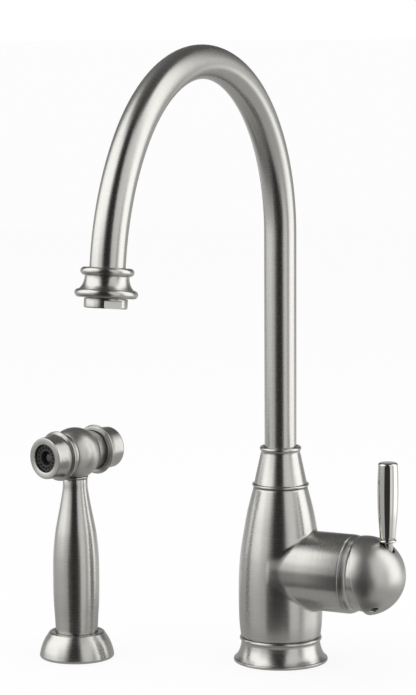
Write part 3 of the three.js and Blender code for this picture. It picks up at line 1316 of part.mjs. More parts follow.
function buildHandSpray(stand) {
  const handset = new THREE.Group();
  handset.rotation.z = -THREE.MathUtils.degToRad(HEAD_TURN);
  const washerTop = HANDLE_SOCKET_TOP - GAP;
  const washerFoot = washerTop - COUPLING_WASHER_THICKNESS;
  const couplingWasher = ring(COUPLING_BORE + GAP, COUPLING_RADIUS, washerFoot, washerTop);
  place(handset, 'hose_coupling', hoseCoupling(), turnedBrass);
  place(handset, 'coupling_washer', couplingWasher, blackRubber);
  place(handset, 'spray_handle', sprayHandle(), brushedNickel);
  place(handset, 'handle_collar', handleCollar(), brushedNickel);

  const head = new THREE.Group();
  head.position.z = HEAD_HEIGHT;
  head.rotation.x = Math.PI / 2;
  const springSeat = SPRING_POCKET_FLOOR - GAP;
  place(head, 'spray_head', sprayHead(), brushedNickel);
  place(head, 'nozzle_bezel', nozzleBezel(), brushedNickel);
  place(head, 'spray_face', sprayFace(), blackRubber);
  place(head, 'nozzle_plunger', nozzlePlunger(), greyPlastic);
  place(head, 'valve_seat', valveSeat(), turnedBrass);
  place(head, 'valve_stem', valveStem(), steel);
  const spring = coilSpring(SPRING_RADIUS, SPRING_WIRE, 4, BUTTON_FLOOR + GAP, springSeat);
  place(head, 'valve_spring', spring, steel);
  place(head, 'spray_button', sprayButton(), brushedNickel);
  handset.add(head);
  stand.add(handset);
}

// ---------------------------------------------------------------------------------------------
// The whole faucet
// ---------------------------------------------------------------------------------------------

const faucet = new THREE.Group();
buildDeckFixing(faucet);
buildBody(faucet);
buildDiverter(faucet);
buildSpout(faucet);
buildValve(faucet);

const sprayStand = new THREE.Group();
sprayStand.position.set(...SPRAY_PLACE, 0);
buildSprayHolder(sprayStand);
buildHandSpray(sprayStand);
faucet.add(sprayStand);

export default faucet;
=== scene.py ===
# %% [markdown]
# # A gooseneck kitchen faucet and its hand spray
#
# Nearly every piece of a faucet comes off a lathe: the foot, the body, the collar, the ball hub,
# the grip and the whole hand spray are turned, then plated. So nearly every piece here is made
# the same way, as half an outline spun round an axis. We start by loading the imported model,
# because it says where everything is and what moves.

# %% Load the frame
import json
import math

import bmesh
import bpy
from mathutils import Matrix, Vector

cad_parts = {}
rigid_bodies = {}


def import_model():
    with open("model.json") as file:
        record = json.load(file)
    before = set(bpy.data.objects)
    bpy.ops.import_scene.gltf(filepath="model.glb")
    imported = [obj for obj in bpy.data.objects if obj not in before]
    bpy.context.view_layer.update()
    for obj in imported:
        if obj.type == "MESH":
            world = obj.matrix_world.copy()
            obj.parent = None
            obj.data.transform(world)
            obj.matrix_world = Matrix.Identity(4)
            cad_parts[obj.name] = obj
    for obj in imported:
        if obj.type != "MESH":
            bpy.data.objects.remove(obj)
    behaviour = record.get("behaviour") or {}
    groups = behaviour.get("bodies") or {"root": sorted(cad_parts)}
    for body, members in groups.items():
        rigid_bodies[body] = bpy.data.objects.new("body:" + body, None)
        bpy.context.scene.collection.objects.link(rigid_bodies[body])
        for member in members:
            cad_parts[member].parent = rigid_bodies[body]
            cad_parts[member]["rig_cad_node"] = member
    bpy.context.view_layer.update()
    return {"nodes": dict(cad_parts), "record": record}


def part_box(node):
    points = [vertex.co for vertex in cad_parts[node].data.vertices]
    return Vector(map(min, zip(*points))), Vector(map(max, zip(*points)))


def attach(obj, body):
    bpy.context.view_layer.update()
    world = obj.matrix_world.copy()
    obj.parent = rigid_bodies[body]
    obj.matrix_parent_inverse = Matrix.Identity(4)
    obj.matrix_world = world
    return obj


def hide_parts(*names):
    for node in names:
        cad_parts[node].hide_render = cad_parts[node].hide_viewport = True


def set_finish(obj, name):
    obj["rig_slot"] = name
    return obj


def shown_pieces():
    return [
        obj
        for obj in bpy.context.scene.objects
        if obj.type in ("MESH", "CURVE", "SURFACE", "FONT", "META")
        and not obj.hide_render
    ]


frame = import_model()
scene = bpy.context.scene
scene.view_settings.view_transform = "Standard"

# %% [markdown]
# ## The camera
#
# The camera comes first, so that every later step can be judged in the picture. It stands in
# front and to the right, a little above the countertop, and far away, so that uprights stay
# nearly parallel. A long lens does the same in a product studio.

# %% Camera
MM = 0.001
IMAGE_HEIGHT = 695
FOCAL_PIXELS = 2809.17
CAMERA_PLACE = Vector((817.24, -1743.76, 478.30)) * MM
CAMERA_YAW = math.radians(26.6)
CAMERA_PITCH = math.radians(7.61)
CAMERA_ROLL = math.radians(-0.27)
SENSOR_HEIGHT = 24
FARTHEST_SEEN = 20


def studio_camera():
    """A camera looks along its own -Z, so it is first stood up and then turned to the faucet."""
    data = bpy.data.cameras.new("studio_camera")
    data.sensor_fit = "VERTICAL"
    data.sensor_height = SENSOR_HEIGHT
    data.lens = FOCAL_PIXELS / IMAGE_HEIGHT * SENSOR_HEIGHT
    data.clip_end = FARTHEST_SEEN
    camera = bpy.data.objects.new("studio_camera", data)
    turn = Matrix.Rotation(CAMERA_YAW, 4, "Z")
    upright = Matrix.Rotation(math.pi / 2 - CAMERA_PITCH, 4, "X")
    roll = Matrix.Rotation(CAMERA_ROLL, 4, "Z")
    camera.matrix_world = Matrix.Translation(CAMERA_PLACE) @ turn @ upright @ roll
    scene.collection.objects.link(camera)
    scene.camera = camera
    return camera


print("lens:", round(studio_camera().data.lens, 2), "mm")

# %% [markdown]
# ## Outlines
#
# An outline is a list of points, each a radius and a height in millimetres. Round stretches come
# from an arc, and long soft ones from a smooth curve through a few points, so an outline holds
# only the numbers that matter.

# %% Arcs and smooth curves


def arc(centre_r, centre_z, radius, start, end, steps=8):
    """Part of a circle, from one angle to another in degrees, 0 pointing outwards."""
    points = []
    for i in range(steps + 1):
        angle = math.radians(start + (end - start) * i / steps)
        points.append((centre_r + radius * math.cos(angle), centre_z + radius * math.sin(angle)))
    return points


def smooth(points, steps=6):
    """A soft curve through the points, with a number of steps between each two of them."""
    ends = [points[0]] + list(points) + [points[-1]]
    result = [points[0]]
    for a, b, c, d in zip(ends, ends[1:], ends[2:], ends[3:]):
        for i in range(1, steps + 1):
            t = i / steps
            result.append(tuple(
                0.5 * (2 * q + (r - p) * t + (2 * p - 5 * q + 4 * r - s) * t * t
                       + (3 * q - p - 3 * r + s) * t ** 3)
                for p, q, r, s in zip(a, b, c, d)
            ))
    return result


print("points on a quarter circle:", len(arc(0, 0, 1, 0, 90)))

# %% [markdown]
# ## The lathe
#
# `turned` is the lathe: it lays the outline out as a chain of vertices, spins it a full turn, and
# merges the seam and the poles. Spinning can leave the faces pointing inwards, so the normals are
# recalculated afterwards. Real turned edges are never perfectly sharp, so every crisp edge gets a
# tiny bevel, which catches a thin line of light.
#
# Each vertex also remembers where it is on the outline and at which angle round it. The brushed
# finish reads that later, because brushing follows the turning.

# %% The lathe
BEVELLED_ABOVE = math.radians(38)
CREASED_ABOVE = math.radians(50)
OUTLINE_PER_UNIT = 100
ON_AXIS = 1e-6
SAME_PLACE = 1e-4


def as_mesh(name, bm):
    mesh = bpy.data.meshes.new(name)
    bm.to_mesh(mesh)
    bm.free()
    return mesh


def in_scene(name, mesh):
    """An object that sits at the origin, with its place in its mesh."""
    piece = bpy.data.objects.new(name, mesh)
    scene.collection.objects.link(piece)
    return piece


def mesh_object(name, bm, place):
    """Puts a bmesh, in millimetres, into the scene at its place."""
    bmesh.ops.transform(bm, matrix=place @ Matrix.Diagonal((MM, MM, MM, 1)), verts=bm.verts)
    return in_scene(name, as_mesh(name, bm))


def soften(bm, bevel):
    """Bevels the crisp edges and shades the rest smooth."""
    bm.normal_update()
    crisp = [e for e in bm.edges if e.is_manifold and e.calc_face_angle(0) > BEVELLED_ABOVE]
    if bevel:
        bmesh.ops.bevel(
            bm, geom=crisp, offset=bevel, offset_type="OFFSET", segments=2, profile=0.5,
            affect="EDGES", material=-1, clamp_overlap=True,
        )
    bm.normal_update()
    for face in bm.faces:
        face.smooth = True
    for edge in bm.edges:
        edge.smooth = not (edge.is_manifold and edge.calc_face_angle(0) > CREASED_ABOVE)


def unwrap(bm):
    """Lays the piece out flat, one unit wide once round and one unit high for 100 mm."""
    brushing = bm.verts.layers.float_vector["brushing"]
    uv = bm.loops.layers.uv.new("turning")
    for face in bm.faces:
        middle = sum((v[brushing] for v in face.verts), Vector())
        centre = math.atan2(middle.y, middle.x)
        for loop in face.loops:
            spot = loop.vert[brushing]
            angle = math.atan2(spot.y, spot.x)
            wrapped = (angle - centre + math.pi) % (2 * math.pi) - math.pi
            loop[uv].uv = ((centre + wrapped) / (2 * math.pi), spot.z / OUTLINE_PER_UNIT)


def turned(name, outline, place=Matrix(), sides=96, bevel=0.12):
    """A piece turned round its own Z from an outline that ends on the axis, or closes on itself."""
    bm = bmesh.new()
    brushing = bm.verts.layers.float_vector.new("brushing")
    chain = []
    reach = 0.0
    for i, (r, z) in enumerate(outline):
        if i:
            reach += math.dist(outline[i - 1], (r, z))
        vertex = bm.verts.new((max(r, 0.0), 0, z))
        vertex[brushing] = (1, 0, reach)
        chain.append(vertex)
    edges = [bm.edges.new(pair) for pair in zip(chain, chain[1:])]
    if outline[0][0] > ON_AXIS or outline[-1][0] > ON_AXIS:
        edges.append(bm.edges.new((chain[-1], chain[0])))
    bmesh.ops.spin(
        bm, geom=chain + edges, cent=(0, 0, 0), axis=(0, 0, 1), angle=2 * math.pi, steps=sides,
        use_merge=True, use_duplicate=False,
    )
    bmesh.ops.remove_doubles(bm, verts=bm.verts, dist=SAME_PLACE)
    for vertex in bm.verts:
        angle = math.atan2(vertex.co.y, vertex.co.x)
        vertex[brushing] = (math.cos(angle), math.sin(angle), vertex[brushing].z)
    bmesh.ops.recalc_face_normals(bm, faces=bm.faces)
    soften(bm, bevel)
    unwrap(bm)
    return mesh_object(name, bm, place)


def ring(name, inner, outer, bottom, top, place=Matrix(), edge=0.3):
    """A plain ring or tube with softened edges."""
    outline = [(inner, bottom), (outer, bottom), (outer, top), (inner, top)]
    return turned(name, outline, place, bevel=edge)


print("the lathe is ready")

# %% [markdown]
# ## Drilling
#
# Holes that don't lie on the lathe's axis are drilled. A Boolean modifier cuts the drills away,
# and its result becomes the piece's own mesh, so no drill is left in the scene.

# %% The drill


def drilled(piece, drills):
    """Cuts the drills, which are objects, out of the piece and removes them."""
    for drill in drills:
        cut = piece.modifiers.new("drill", "BOOLEAN")
        cut.operation = "DIFFERENCE"
        cut.solver = "EXACT"
        cut.object = drill
    bpy.context.view_layer.update()
    finished = piece.evaluated_get(bpy.context.evaluated_depsgraph_get())
    result = bpy.data.meshes.new_from_object(finished)
    piece.modifiers.clear()
    piece.data = result
    for drill in drills:
        bpy.data.objects.remove(drill)
    return piece


def drill_bit(radius, bottom, top, place=Matrix(), sides=40):
    outline = [(0, bottom), (radius, bottom), (radius, top), (0, top)]
    return turned("drill_bit", outline, place, sides, bevel=0)


def drill_circle(count, circle, radius, bottom, top, place, sides):
    """Drills that stand in a circle."""
    offset = Matrix.Translation((circle * MM, 0, 0))
    turns = [Matrix.Rotation(2 * math.pi * i / count, 4, "Z") for i in range(count)]
    return [drill_bit(radius, bottom, top, place @ turn @ offset, sides) for turn in turns]


def cutting_block(size, middle, place, turn=0):
    """A block that mills a flat, turned round Z by some degrees."""
    bm = bmesh.new()
    bmesh.ops.create_cube(bm, size=1)
    bmesh.ops.scale(bm, vec=size, verts=bm.verts)
    bmesh.ops.translate(bm, vec=middle, verts=bm.verts)
    bmesh.ops.rotate(bm, matrix=Matrix.Rotation(math.radians(turn), 3, "Z"), verts=bm.verts)
    return mesh_object("cutting_block", bm, place)


def joined(name, objects):
    """Several objects as one."""
    bm = bmesh.new()
    for item in objects:
        bm.from_mesh(item.data)
        bpy.data.objects.remove(item)
    return mesh_object(name, bm, Matrix.Scale(1 / MM, 4))


def settle(piece, body, slot, *nodes):
    """Hangs the piece on its body, notes what it is made of, and hides the CAD nodes it replaces.
    """
    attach(piece, body)
    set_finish(piece, slot)
    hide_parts(*nodes)


print("the drill is ready")

# %% [markdown]
# ## The foot
#
# The foot is a bell with a rolled rim, a hollow flare and a small bead on top, where the body
# stands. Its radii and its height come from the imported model, so it always fits what is round it.

# %% Foot


def half_width(node):
    """Half the width of a node along X, in millimetres."""
    low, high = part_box(node)
    return (high.x - low.x) / 2 / MM


def foot_of(node):
    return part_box(node)[0].z / MM


def top_of(node):
    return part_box(node)[1].z / MM


FOOT_RADIUS = half_width("base_ring")
FOOT_HEIGHT = top_of("base_ring")
FOOT_BEAD = 1.4
RIM_EDGE = 0.7


def foot():
    outline = [
        (26.4, 0),
        *arc(FOOT_RADIUS - RIM_EDGE, RIM_EDGE, RIM_EDGE, -90, 0, 5),
        *arc(FOOT_RADIUS - RIM_EDGE, 1.5, RIM_EDGE, 0, 80, 5),
        (FOOT_RADIUS - 0.8, 2.3),
        *smooth([(31.9, 2.5), (30.2, 4.7), (28.9, 7.4), (28.0, 10.4), (27.5, 13.4)]),
        *arc(28.7 - FOOT_BEAD, FOOT_HEIGHT - FOOT_BEAD, FOOT_BEAD, -75, 90, 10),
        (17.1, FOOT_HEIGHT),
        (17.1, 2),
        (20, 2),
        (20, 12),
        (25, 12),
        (25, 2),
        (26.4, 2),
    ]
    return turned("foot", outline)


settle(foot(), "faucet_body", "brushed_nickel", "base_ring")
print("foot radius and height:", FOOT_RADIUS, FOOT_HEIGHT)

# %% [markdown]
# ## The body
#
# The body is one brass casting, shaped like a slender vase with a barrel on its side for the
# valve. Both forms are turned and brushed round their own axes, so they are two lathe forms that
# run into each other in one piece. The barrel flares slightly at its root, and the body's own
# finish rounds the corner between them, as the casting's fillet does.

# %% Body
BODY_FOOT = foot_of("body_casting")
BODY_SHOULDER = 123.6
BODY_NECK_TOP = top_of("body_casting")
BARREL_RADIUS = 27.4
BARREL_FLARE = 1.05
BARREL_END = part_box("body_casting")[1].x / MM
VALVE_HEIGHT = 66.2
BALL_CENTRE = 64.9
at_ball = Matrix.Translation((BALL_CENTRE * MM, 0, VALVE_HEIGHT * MM))
along_valve = at_ball @ Matrix.Rotation(math.pi / 2, 4, "Y")


def vase():
    outline = [
        (23.5, BODY_FOOT),
        (27.6, BODY_FOOT),
        *smooth([(27.9, BODY_FOOT + 0.3), (28.9, 28), (29.4, 44), (29.25, 60), (28.1, 76.4),
                 (25.5, 93.4), (22.8, 107.6), (18.7, BODY_SHOULDER)], 8),
        (15.4, BODY_SHOULDER),
        (15.4, BODY_NECK_TOP),
        (13.5, BODY_NECK_TOP),
        (13.5, 92),
        (9.3, 92),
        (9.3, 76),
        (0, 76),
        (0, 36),
        (23.5, 36),
    ]
    return turned("body_vase", outline, sides=128)


def barrel():
    mouth = BARREL_END - BALL_CENTRE
    root = BARREL_RADIUS + BARREL_FLARE
    outline = [
        (0, -62),
        *smooth([(root, -62), (root - 0.3, -57), (root - 0.7, -50.5), (root - 0.95, -44),
                 (BARREL_RADIUS, -37)]),
        (BARREL_RADIUS, mouth),
        (21.4, mouth),
        (21.4, -12.2),
        (17.8, -12.2),
        (17.8, -30),
        (0, -30),
    ]
    return turned("body_barrel", outline, along_valve, bevel=0.5)


settle(joined("body", [vase(), barrel()]), "faucet_body", "brushed_nickel", "body_casting")
print("body from", BODY_FOOT, "to", BODY_NECK_TOP)

# %% [markdown]
# ## The collar
#
# A threaded cone holds the spout in the body and lets it turn. It has a bead at its foot, which
# hides the joint, and a rolled lip round the tube.

# %% Collar
COLLAR_FOOT = foot_of("spout_collar")
COLLAR_TOP = top_of("spout_collar")


def collar():
    outline = [
        (15.7, COLLAR_FOOT),
        (18.4, COLLAR_FOOT),
        *arc(18.8, COLLAR_FOOT + 1.1, 1.0, -70, 78, 10),
        (18.3, COLLAR_FOOT + 2.4),
        (13.75, COLLAR_TOP - 4.6),
        (13.5, COLLAR_TOP - 3.6),
        *arc(13.0, COLLAR_TOP - 1.5, 1.5, -55, 140, 12),
        (11.5, COLLAR_TOP - 1.8),
        (11.5, COLLAR_FOOT + 6),
        (15.7, COLLAR_FOOT + 6),
    ]
    return turned("collar", outline)


settle(collar(), "faucet_body", "brushed_nickel", "spout_collar")
print("collar top:", COLLAR_TOP)

# %% [markdown]
# ## The spout
#
# The spout is one length of tube, bent twice. It is made like the real one: a circle is drawn,
# pulled straight up, carried round the first bend, round a wider one, and pulled straight again
# at its end. Extruding an edge loop and turning it about the bend's centre gives exact arcs.

# %% Spout tube
TUBE_RADIUS = half_width("spout_tube")
TUBE_WALL = 1.2
TUBE_FOOT = foot_of("spout_tube")
BENDS_FROM = 299.7
MAIN_BEND = (121.5, 141.0)  # radius and degrees
END_BEND = (148.0, 31.8)
END_LEAN = 180 - MAIN_BEND[1] - END_BEND[1]
END_STRAIGHT = 10.0


def bend_centres():
    """The two points that the tube is bent about."""
    main_radius, main_sweep = MAIN_BEND
    heading = math.radians(main_sweep)
    main_centre = Vector((0, -main_radius, BENDS_FROM))
    outwards = Vector((0, math.cos(heading), math.sin(heading)))
    return main_centre, main_centre + outwards * (main_radius - END_BEND[0])


def bent_tube(bm, radius, brushing):
    """One skin of the spout, returned as its first and last edge loops."""
    circle = bmesh.ops.create_circle(bm, cap_ends=False, radius=radius, segments=64)["verts"]
    bmesh.ops.translate(bm, verts=circle, vec=(0, 0, TUBE_FOOT))
    for vertex in circle:
        vertex[brushing] = (vertex.co.x / radius, vertex.co.y / radius, 0)
    first = list(dict.fromkeys(e for v in circle for e in v.link_edges))
    loop = first

    def step(move, reach):
        """Extrudes the open end once and moves it on, and notes how far along the tube it is."""
        nonlocal loop
        made = bmesh.ops.extrude_edge_only(bm, edges=loop)["geom"]
        verts = [v for v in made if isinstance(v, bmesh.types.BMVert)]
        move(verts)
        for vertex in verts:
            x, y, z = vertex[brushing]
            vertex[brushing] = (x, y, z + reach)
        loop = [e for e in made if isinstance(e, bmesh.types.BMEdge)]

    def straight(length, heading, steps):
        reach = length / steps
        onwards = Vector((0, -math.sin(heading), math.cos(heading))) * reach
        for _ in range(steps):
            step(lambda verts: bmesh.ops.translate(bm, verts=verts, vec=onwards), reach)

    def bend(radius_of_bend, degrees, centre, steps):
        angle = math.radians(degrees) / steps
        turn = {"cent": centre, "matrix": Matrix.Rotation(angle, 3, "X")}
        for _ in range(steps):
            step(lambda verts: bmesh.ops.rotate(bm, verts=verts, **turn), radius_of_bend * angle)

    main_centre, end_centre = bend_centres()
    straight(BENDS_FROM - TUBE_FOOT, 0, 12)
    bend(*MAIN_BEND, main_centre, 56)
    bend(*END_BEND, end_centre, 14)
    straight(END_STRAIGHT, math.radians(MAIN_BEND[1]) + math.radians(END_BEND[1]), 1)
    return first, loop


def spout():
    bm = bmesh.new()
    brushing = bm.verts.layers.float_vector.new("brushing")
    outer_first, outer_last = bent_tube(bm, TUBE_RADIUS, brushing)
    inner_first, inner_last = bent_tube(bm, TUBE_RADIUS - TUBE_WALL, brushing)
    bmesh.ops.bridge_loops(bm, edges=outer_first + inner_first)
    bmesh.ops.bridge_loops(bm, edges=outer_last + inner_last)
    bmesh.ops.recalc_face_normals(bm, faces=bm.faces)
    soften(bm, 0)
    unwrap(bm)
    return mesh_object("spout", bm, Matrix())


settle(spout(), "spout", "brushed_nickel", "spout_tube")
print("spout foot:", TUBE_FOOT, "tube radius:", TUBE_RADIUS)

# %% [markdown]
# ## The spout's end
#
# The outlet is a turned bell: a bead where the tube goes in, a hollow flare, a larger bead, and
# the aerator's housing below it. It leans a little outwards, like the tube's end, so it is turned
# upright and then leant over. Its place is where the tube's centre line comes out.

# %% Spout end
BEAD_TO_END = 6
HOUSING_TOP = -16.35
HOUSING_HEIGHT = 6.1
HOUSING_FOOT = HOUSING_TOP - HOUSING_HEIGHT
HOUSING_RADIUS = 13.4
SPANNER_FLATS_TURN = 50
SCREEN_HOLES = ((1, 0), (6, 2.7), (12, 5.3), (18, 7.9))  # how many, and how far out


def bead_middle():
    """The middle of the bell's upper bead, a little before the tube's end."""
    last = math.radians(MAIN_BEND[1] + END_BEND[1])
    point = bend_centres()[1] + Vector((0, math.cos(last), math.sin(last))) * END_BEND[0]
    onwards = Vector((0, -math.sin(last), math.cos(last)))
    return point + onwards * (END_STRAIGHT - BEAD_TO_END)


leant_over = Matrix.Rotation(-math.radians(END_LEAN), 4, "X")
at_spout_end = Matrix.Translation(bead_middle() * MM) @ leant_over


def end_bell():
    outline = [
        (11.4, -6.3),
        (11.4, 1.9),
        *arc(14.05, 0, 2.5, 140, -80, 18),
        *smooth([(13.75, -2.7), (13.75, -4.4), (14.4, -7), (15.5, -9.2), (17.1, -11.1)]),
        *arc(16.85, -13.4, 2.65, 75, -90, 14),
        (12.5, -16.05),
        (12.5, -9.7),
        (9.9, -9.7),
        (9.9, -6.3),
    ]
    return turned("end_bell", outline, at_spout_end)


def aerator_housing():
    edge = 0.9
    outline = [
        (9.4, HOUSING_FOOT),
        (10.2, HOUSING_FOOT),
        *arc(HOUSING_RADIUS - edge, HOUSING_FOOT + edge, edge, -90, 0, 6),
        (HOUSING_RADIUS, HOUSING_TOP),
        (12.2, HOUSING_TOP),
        (12.2, HOUSING_TOP + 4.6),
        (10.7, HOUSING_TOP + 4.6),
        (10.7, HOUSING_FOOT + 1.2),
        (9.4, HOUSING_FOOT + 1.2),
    ]
    piece = turned("aerator_housing", outline, at_spout_end)
    size = (30, 4, HOUSING_HEIGHT)
    flats = [
        cutting_block(size, (0, side * 14.1, HOUSING_TOP - 4.55), at_spout_end, SPANNER_FLATS_TURN)
        for side in (-1, 1)
    ]
    return drilled(piece, flats)


def aerator_screen():
    """The white insert, drilled with rings of fine holes."""
    top = HOUSING_TOP + 4.3
    bottom = HOUSING_FOOT + 1.5
    outline = [(0, bottom), (10.4, bottom), (10.4, top), (0, top)]
    piece = turned("aerator_screen", outline, at_spout_end)
    bits = []
    for count, circle in SCREEN_HOLES:
        bits += drill_circle(count, circle, 0.75, bottom - 1, bottom + 2.5, at_spout_end, 12)
    return drilled(piece, [joined("screen_drills", bits)])


settle(end_bell(), "spout", "brushed_nickel", "spout_end_bell")
settle(aerator_housing(), "spout", "brushed_nickel", "aerator_shell")
settle(aerator_screen(), "spout", "white_plastic", "aerator_insert")
print("bell at", [round(v, 1) for v in bead_middle()])

# %% [markdown]
# ## The valve's trim ring and the ball hub
#
# The barrel ends in a ring with a soft shoulder. From there a dome runs inside the ball, so that
# no gap opens when the ball rocks with the lever. The ball is a hollow shell: its edge is cut
# square to the valve's stem, which points a little upwards while the water is off, and that is
# why the edge leans back at the top.

# %% Trim ring and ball
BALL_RADIUS = 27.5
BALL_INSIDE = 26.1
DOME = 25.0
STEM_TILT = math.radians(11)
along_stem = along_valve @ Matrix.Rotation(-STEM_TILT, 4, "Y")


def trim_ring():
    start = BARREL_END - BALL_CENTRE + 0.3
    outline = [
        (21.4, start),
        (26.9, start),
        *smooth([(27.3, start + 0.4), (26.95, start + 1.5), (26.45, start + 2.6),
                 (25.9, start + 3.6)], 4),
        *arc(0, 0, DOME, -11.6, 27.4, 14),
        *arc(0, 0, DOME - 2.1, 30, -12, 10),
        (21.4, -5),
    ]
    return turned("trim_ring", outline, along_valve, bevel=0.1)


LEVER_OFFSET = 16.0
upright_lever = Matrix.Translation(((BALL_CENTRE + LEVER_OFFSET) * MM, 0, VALVE_HEIGHT * MM))
NECK_HOLE = 3.95
LEVER_MOUTH = 5.0
SCREW_HOLE = 2.8
SCREW_STATION = 7.9
SCREW_TURN = math.radians(32)


def along_screw():
    """The hub screw's own frame: square to the stem, downwards and a little to the spout's side."""
    across = Matrix.Rotation(-SCREW_TURN, 4, "Z") @ Matrix.Rotation(math.pi / 2, 4, "Y")
    return along_stem @ Matrix.Translation((0, 0, SCREW_STATION * MM)) @ across


def ball_hub():
    outline = [
        *arc(0, 0, BALL_RADIUS, 0.7, 90, 40),
        (0, 5.4),
        (8.5, 5.4),
        *arc(0, 0, BALL_INSIDE, 71, 0.5, 20),
        (BALL_INSIDE + 0.2, 0),
        (BALL_RADIUS - 0.3, 0),
    ]
    piece = turned("ball_hub", outline, along_stem, sides=128, bevel=0)
    bits = [
        drill_bit(NECK_HOLE, 8, 50, upright_lever),
        drill_bit(LEVER_MOUTH, 13, 51, upright_lever),
        drill_bit(SCREW_HOLE, 0, 52, along_screw()),
    ]
    return drilled(piece, bits)


settle(trim_ring(), "faucet_body", "brushed_nickel", "valve_trim_ring")
settle(ball_hub(), "lever", "brushed_nickel", "handle_ball")
print("ball hub at", BALL_CENTRE, VALVE_HEIGHT)

# %% [markdown]
# ## The lever
#
# A thin neck stands in the ball's mouth. It ends in a small ring, and the grip above it swells
# gently towards its top. Both are polished rather than brushed, so their outlines are what shows
# most.

# %% Lever
NECK_RADIUS = 3.65
RING_FOOT = 24.8
GRIP_FOOT = foot_of("lever_grip") - VALVE_HEIGHT
GRIP_TOP = top_of("lever_grip") - VALVE_HEIGHT


def lever_neck():
    outline = [
        (0, 8.3),
        (NECK_RADIUS, 8.3),
        (NECK_RADIUS, RING_FOOT - 0.5),
        (4.2, RING_FOOT),
        *arc(6.1 - 0.9, RING_FOOT + 0.9, 0.9, -90, 90, 12),
        (2.5, RING_FOOT + 1.8),
        (2.5, RING_FOOT + 15.8),
        (0, RING_FOOT + 15.8),
    ]
    return turned("lever_neck_turned", outline, upright_lever, sides=64, bevel=0.1)


def lever_grip():
    edge = 1.4
    outline = [
        (0, GRIP_FOOT + 14),
        (2.8, GRIP_FOOT + 14),
        (2.8, GRIP_FOOT),
        (5.0, GRIP_FOOT),
        *smooth([(5.35, GRIP_FOOT + 0.5), (6.2, GRIP_FOOT + 10), (6.9, GRIP_FOOT + 19),
                 (7.25, GRIP_FOOT + 29), (7.3, GRIP_FOOT + 36), (7.05, GRIP_FOOT + 45),
                 (6.75, GRIP_TOP - edge)]),
        *arc(6.75 - edge, GRIP_TOP - edge, edge, 10, 88, 8),
        (0, GRIP_TOP),
    ]
    return turned("lever_grip_turned", outline, upright_lever, sides=80, bevel=0)


settle(lever_neck(), "lever", "polished_nickel", "lever_neck")
settle(lever_grip(), "lever", "polished_nickel", "lever_grip")
print("grip from", round(GRIP_FOOT, 1), "to", round(GRIP_TOP, 1))

# %% [markdown]
# ## The spray holder
#
# The hand spray has its own small stand on the countertop: a bell with a flat top, a little seat
# for the handle, and a bore for the hose.

# %% Spray holder
stand_low, stand_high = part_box("spray_holder")
STAND = (stand_low + stand_high) / 2
STAND.z = 0
HEAD_TURN = math.radians(15)
at_stand = Matrix.Translation(STAND)
handset = at_stand @ Matrix.Rotation(-HEAD_TURN, 4, "Z")
HOLDER_RADIUS = half_width("spray_holder")
HOLDER_HEIGHT = top_of("spray_holder")


def holder():
    seat = HOLDER_HEIGHT - 1
    outline = [
        (22.5, 0),
        (HOLDER_RADIUS - 0.8, 0),
        (HOLDER_RADIUS - 0.1, 0.7),
        *smooth([(HOLDER_RADIUS, 1.8), (25.5, 5.1), (24.6, 8), (23.5, 10.8), (22.0, 13.7),
                 (20.1, 16.6)]),
        *arc(18.4, HOLDER_HEIGHT - 1.6, 1.6, 40, 90, 6),
        (15.2, HOLDER_HEIGHT),
        (15.2, seat),
        (11.2, seat),
        (11.2, 2),
        (13.4, 2),
        (13.4, 11),
        (19, 11),
        (21.4, 2),
        (22.5, 2),
    ]
    return turned("holder", outline, at_stand)


settle(holder(), "faucet_body", "brushed_nickel", "spray_holder")
print("holder at", [round(v, 4) for v in STAND])

# %% [markdown]
# ## The hand spray's handle
#
# The handle swells from a slim waist to a long belly and narrows again where it stands in its
# holder. A small ring joins it to the head.

# %% Handle and collar
HANDLE_FOOT = foot_of("spray_handle")
HANDLE_TOP = top_of("spray_handle")


def handle():
    outline = [
        (8.6, HANDLE_FOOT),
        (14.4, HANDLE_FOOT),
        *smooth([(14.75, HANDLE_FOOT + 0.4), (15.3, 28.2), (15.85, 37), (16.2, 46), (16.3, 57),
                 (16.2, 68.4), (15.75, 77), (14.6, 88), (13.1, 96.5), (11.3, 105.6), (9.8, 113.8),
                 (8.95, 119.4), (8.7, 122.6)]),
        (8.68, HANDLE_TOP),
        (5.5, HANDLE_TOP),
        (5.5, 33),
        (8.6, 33),
    ]
    return turned("handle", outline, handset)


def neck_ring():
    bottom = HANDLE_TOP + 0.3
    height = 1.7
    half = height / 2
    outline = [
        (5.5, bottom),
        (8.6, bottom),
        *arc(9.2 - half, bottom + half, half, -70, 70, 12),
        (8.6, bottom + height),
        (5.5, bottom + height),
    ]
    return turned("neck_ring", outline, handset)


settle(handle(), "hand_spray", "brushed_nickel", "spray_handle")
settle(neck_ring(), "hand_spray", "brushed_nickel", "handle_collar")
print("handle from", HANDLE_FOOT, "to", HANDLE_TOP)

# %% [markdown]
# ## The spray head
#
# The head is a ball with a thumb button behind and a spray bezel in front. Button and bezel share
# one outline, a thin flared flange and a short cylinder, and point opposite ways. The head's axis
# lies level, so it is turned upright and tipped forward.

# %% Head, bezel and button
HEAD_HEIGHT = 145.2
HEAD_BALL = 18.1
FLANGE_RADIUS = 17.4
FLANGE_BEAD = 0.95
RIM_RADIUS = 14.4
BEZEL_FRONT = 30
BEZEL_FLANGE = 16.8
BUTTON_FLANGE = -20.7
BUTTON_END = -37.0
at_head = handset @ Matrix.Translation((0, 0, HEAD_HEIGHT * MM))
along_head = at_head @ Matrix.Rotation(math.pi / 2, 4, "X")


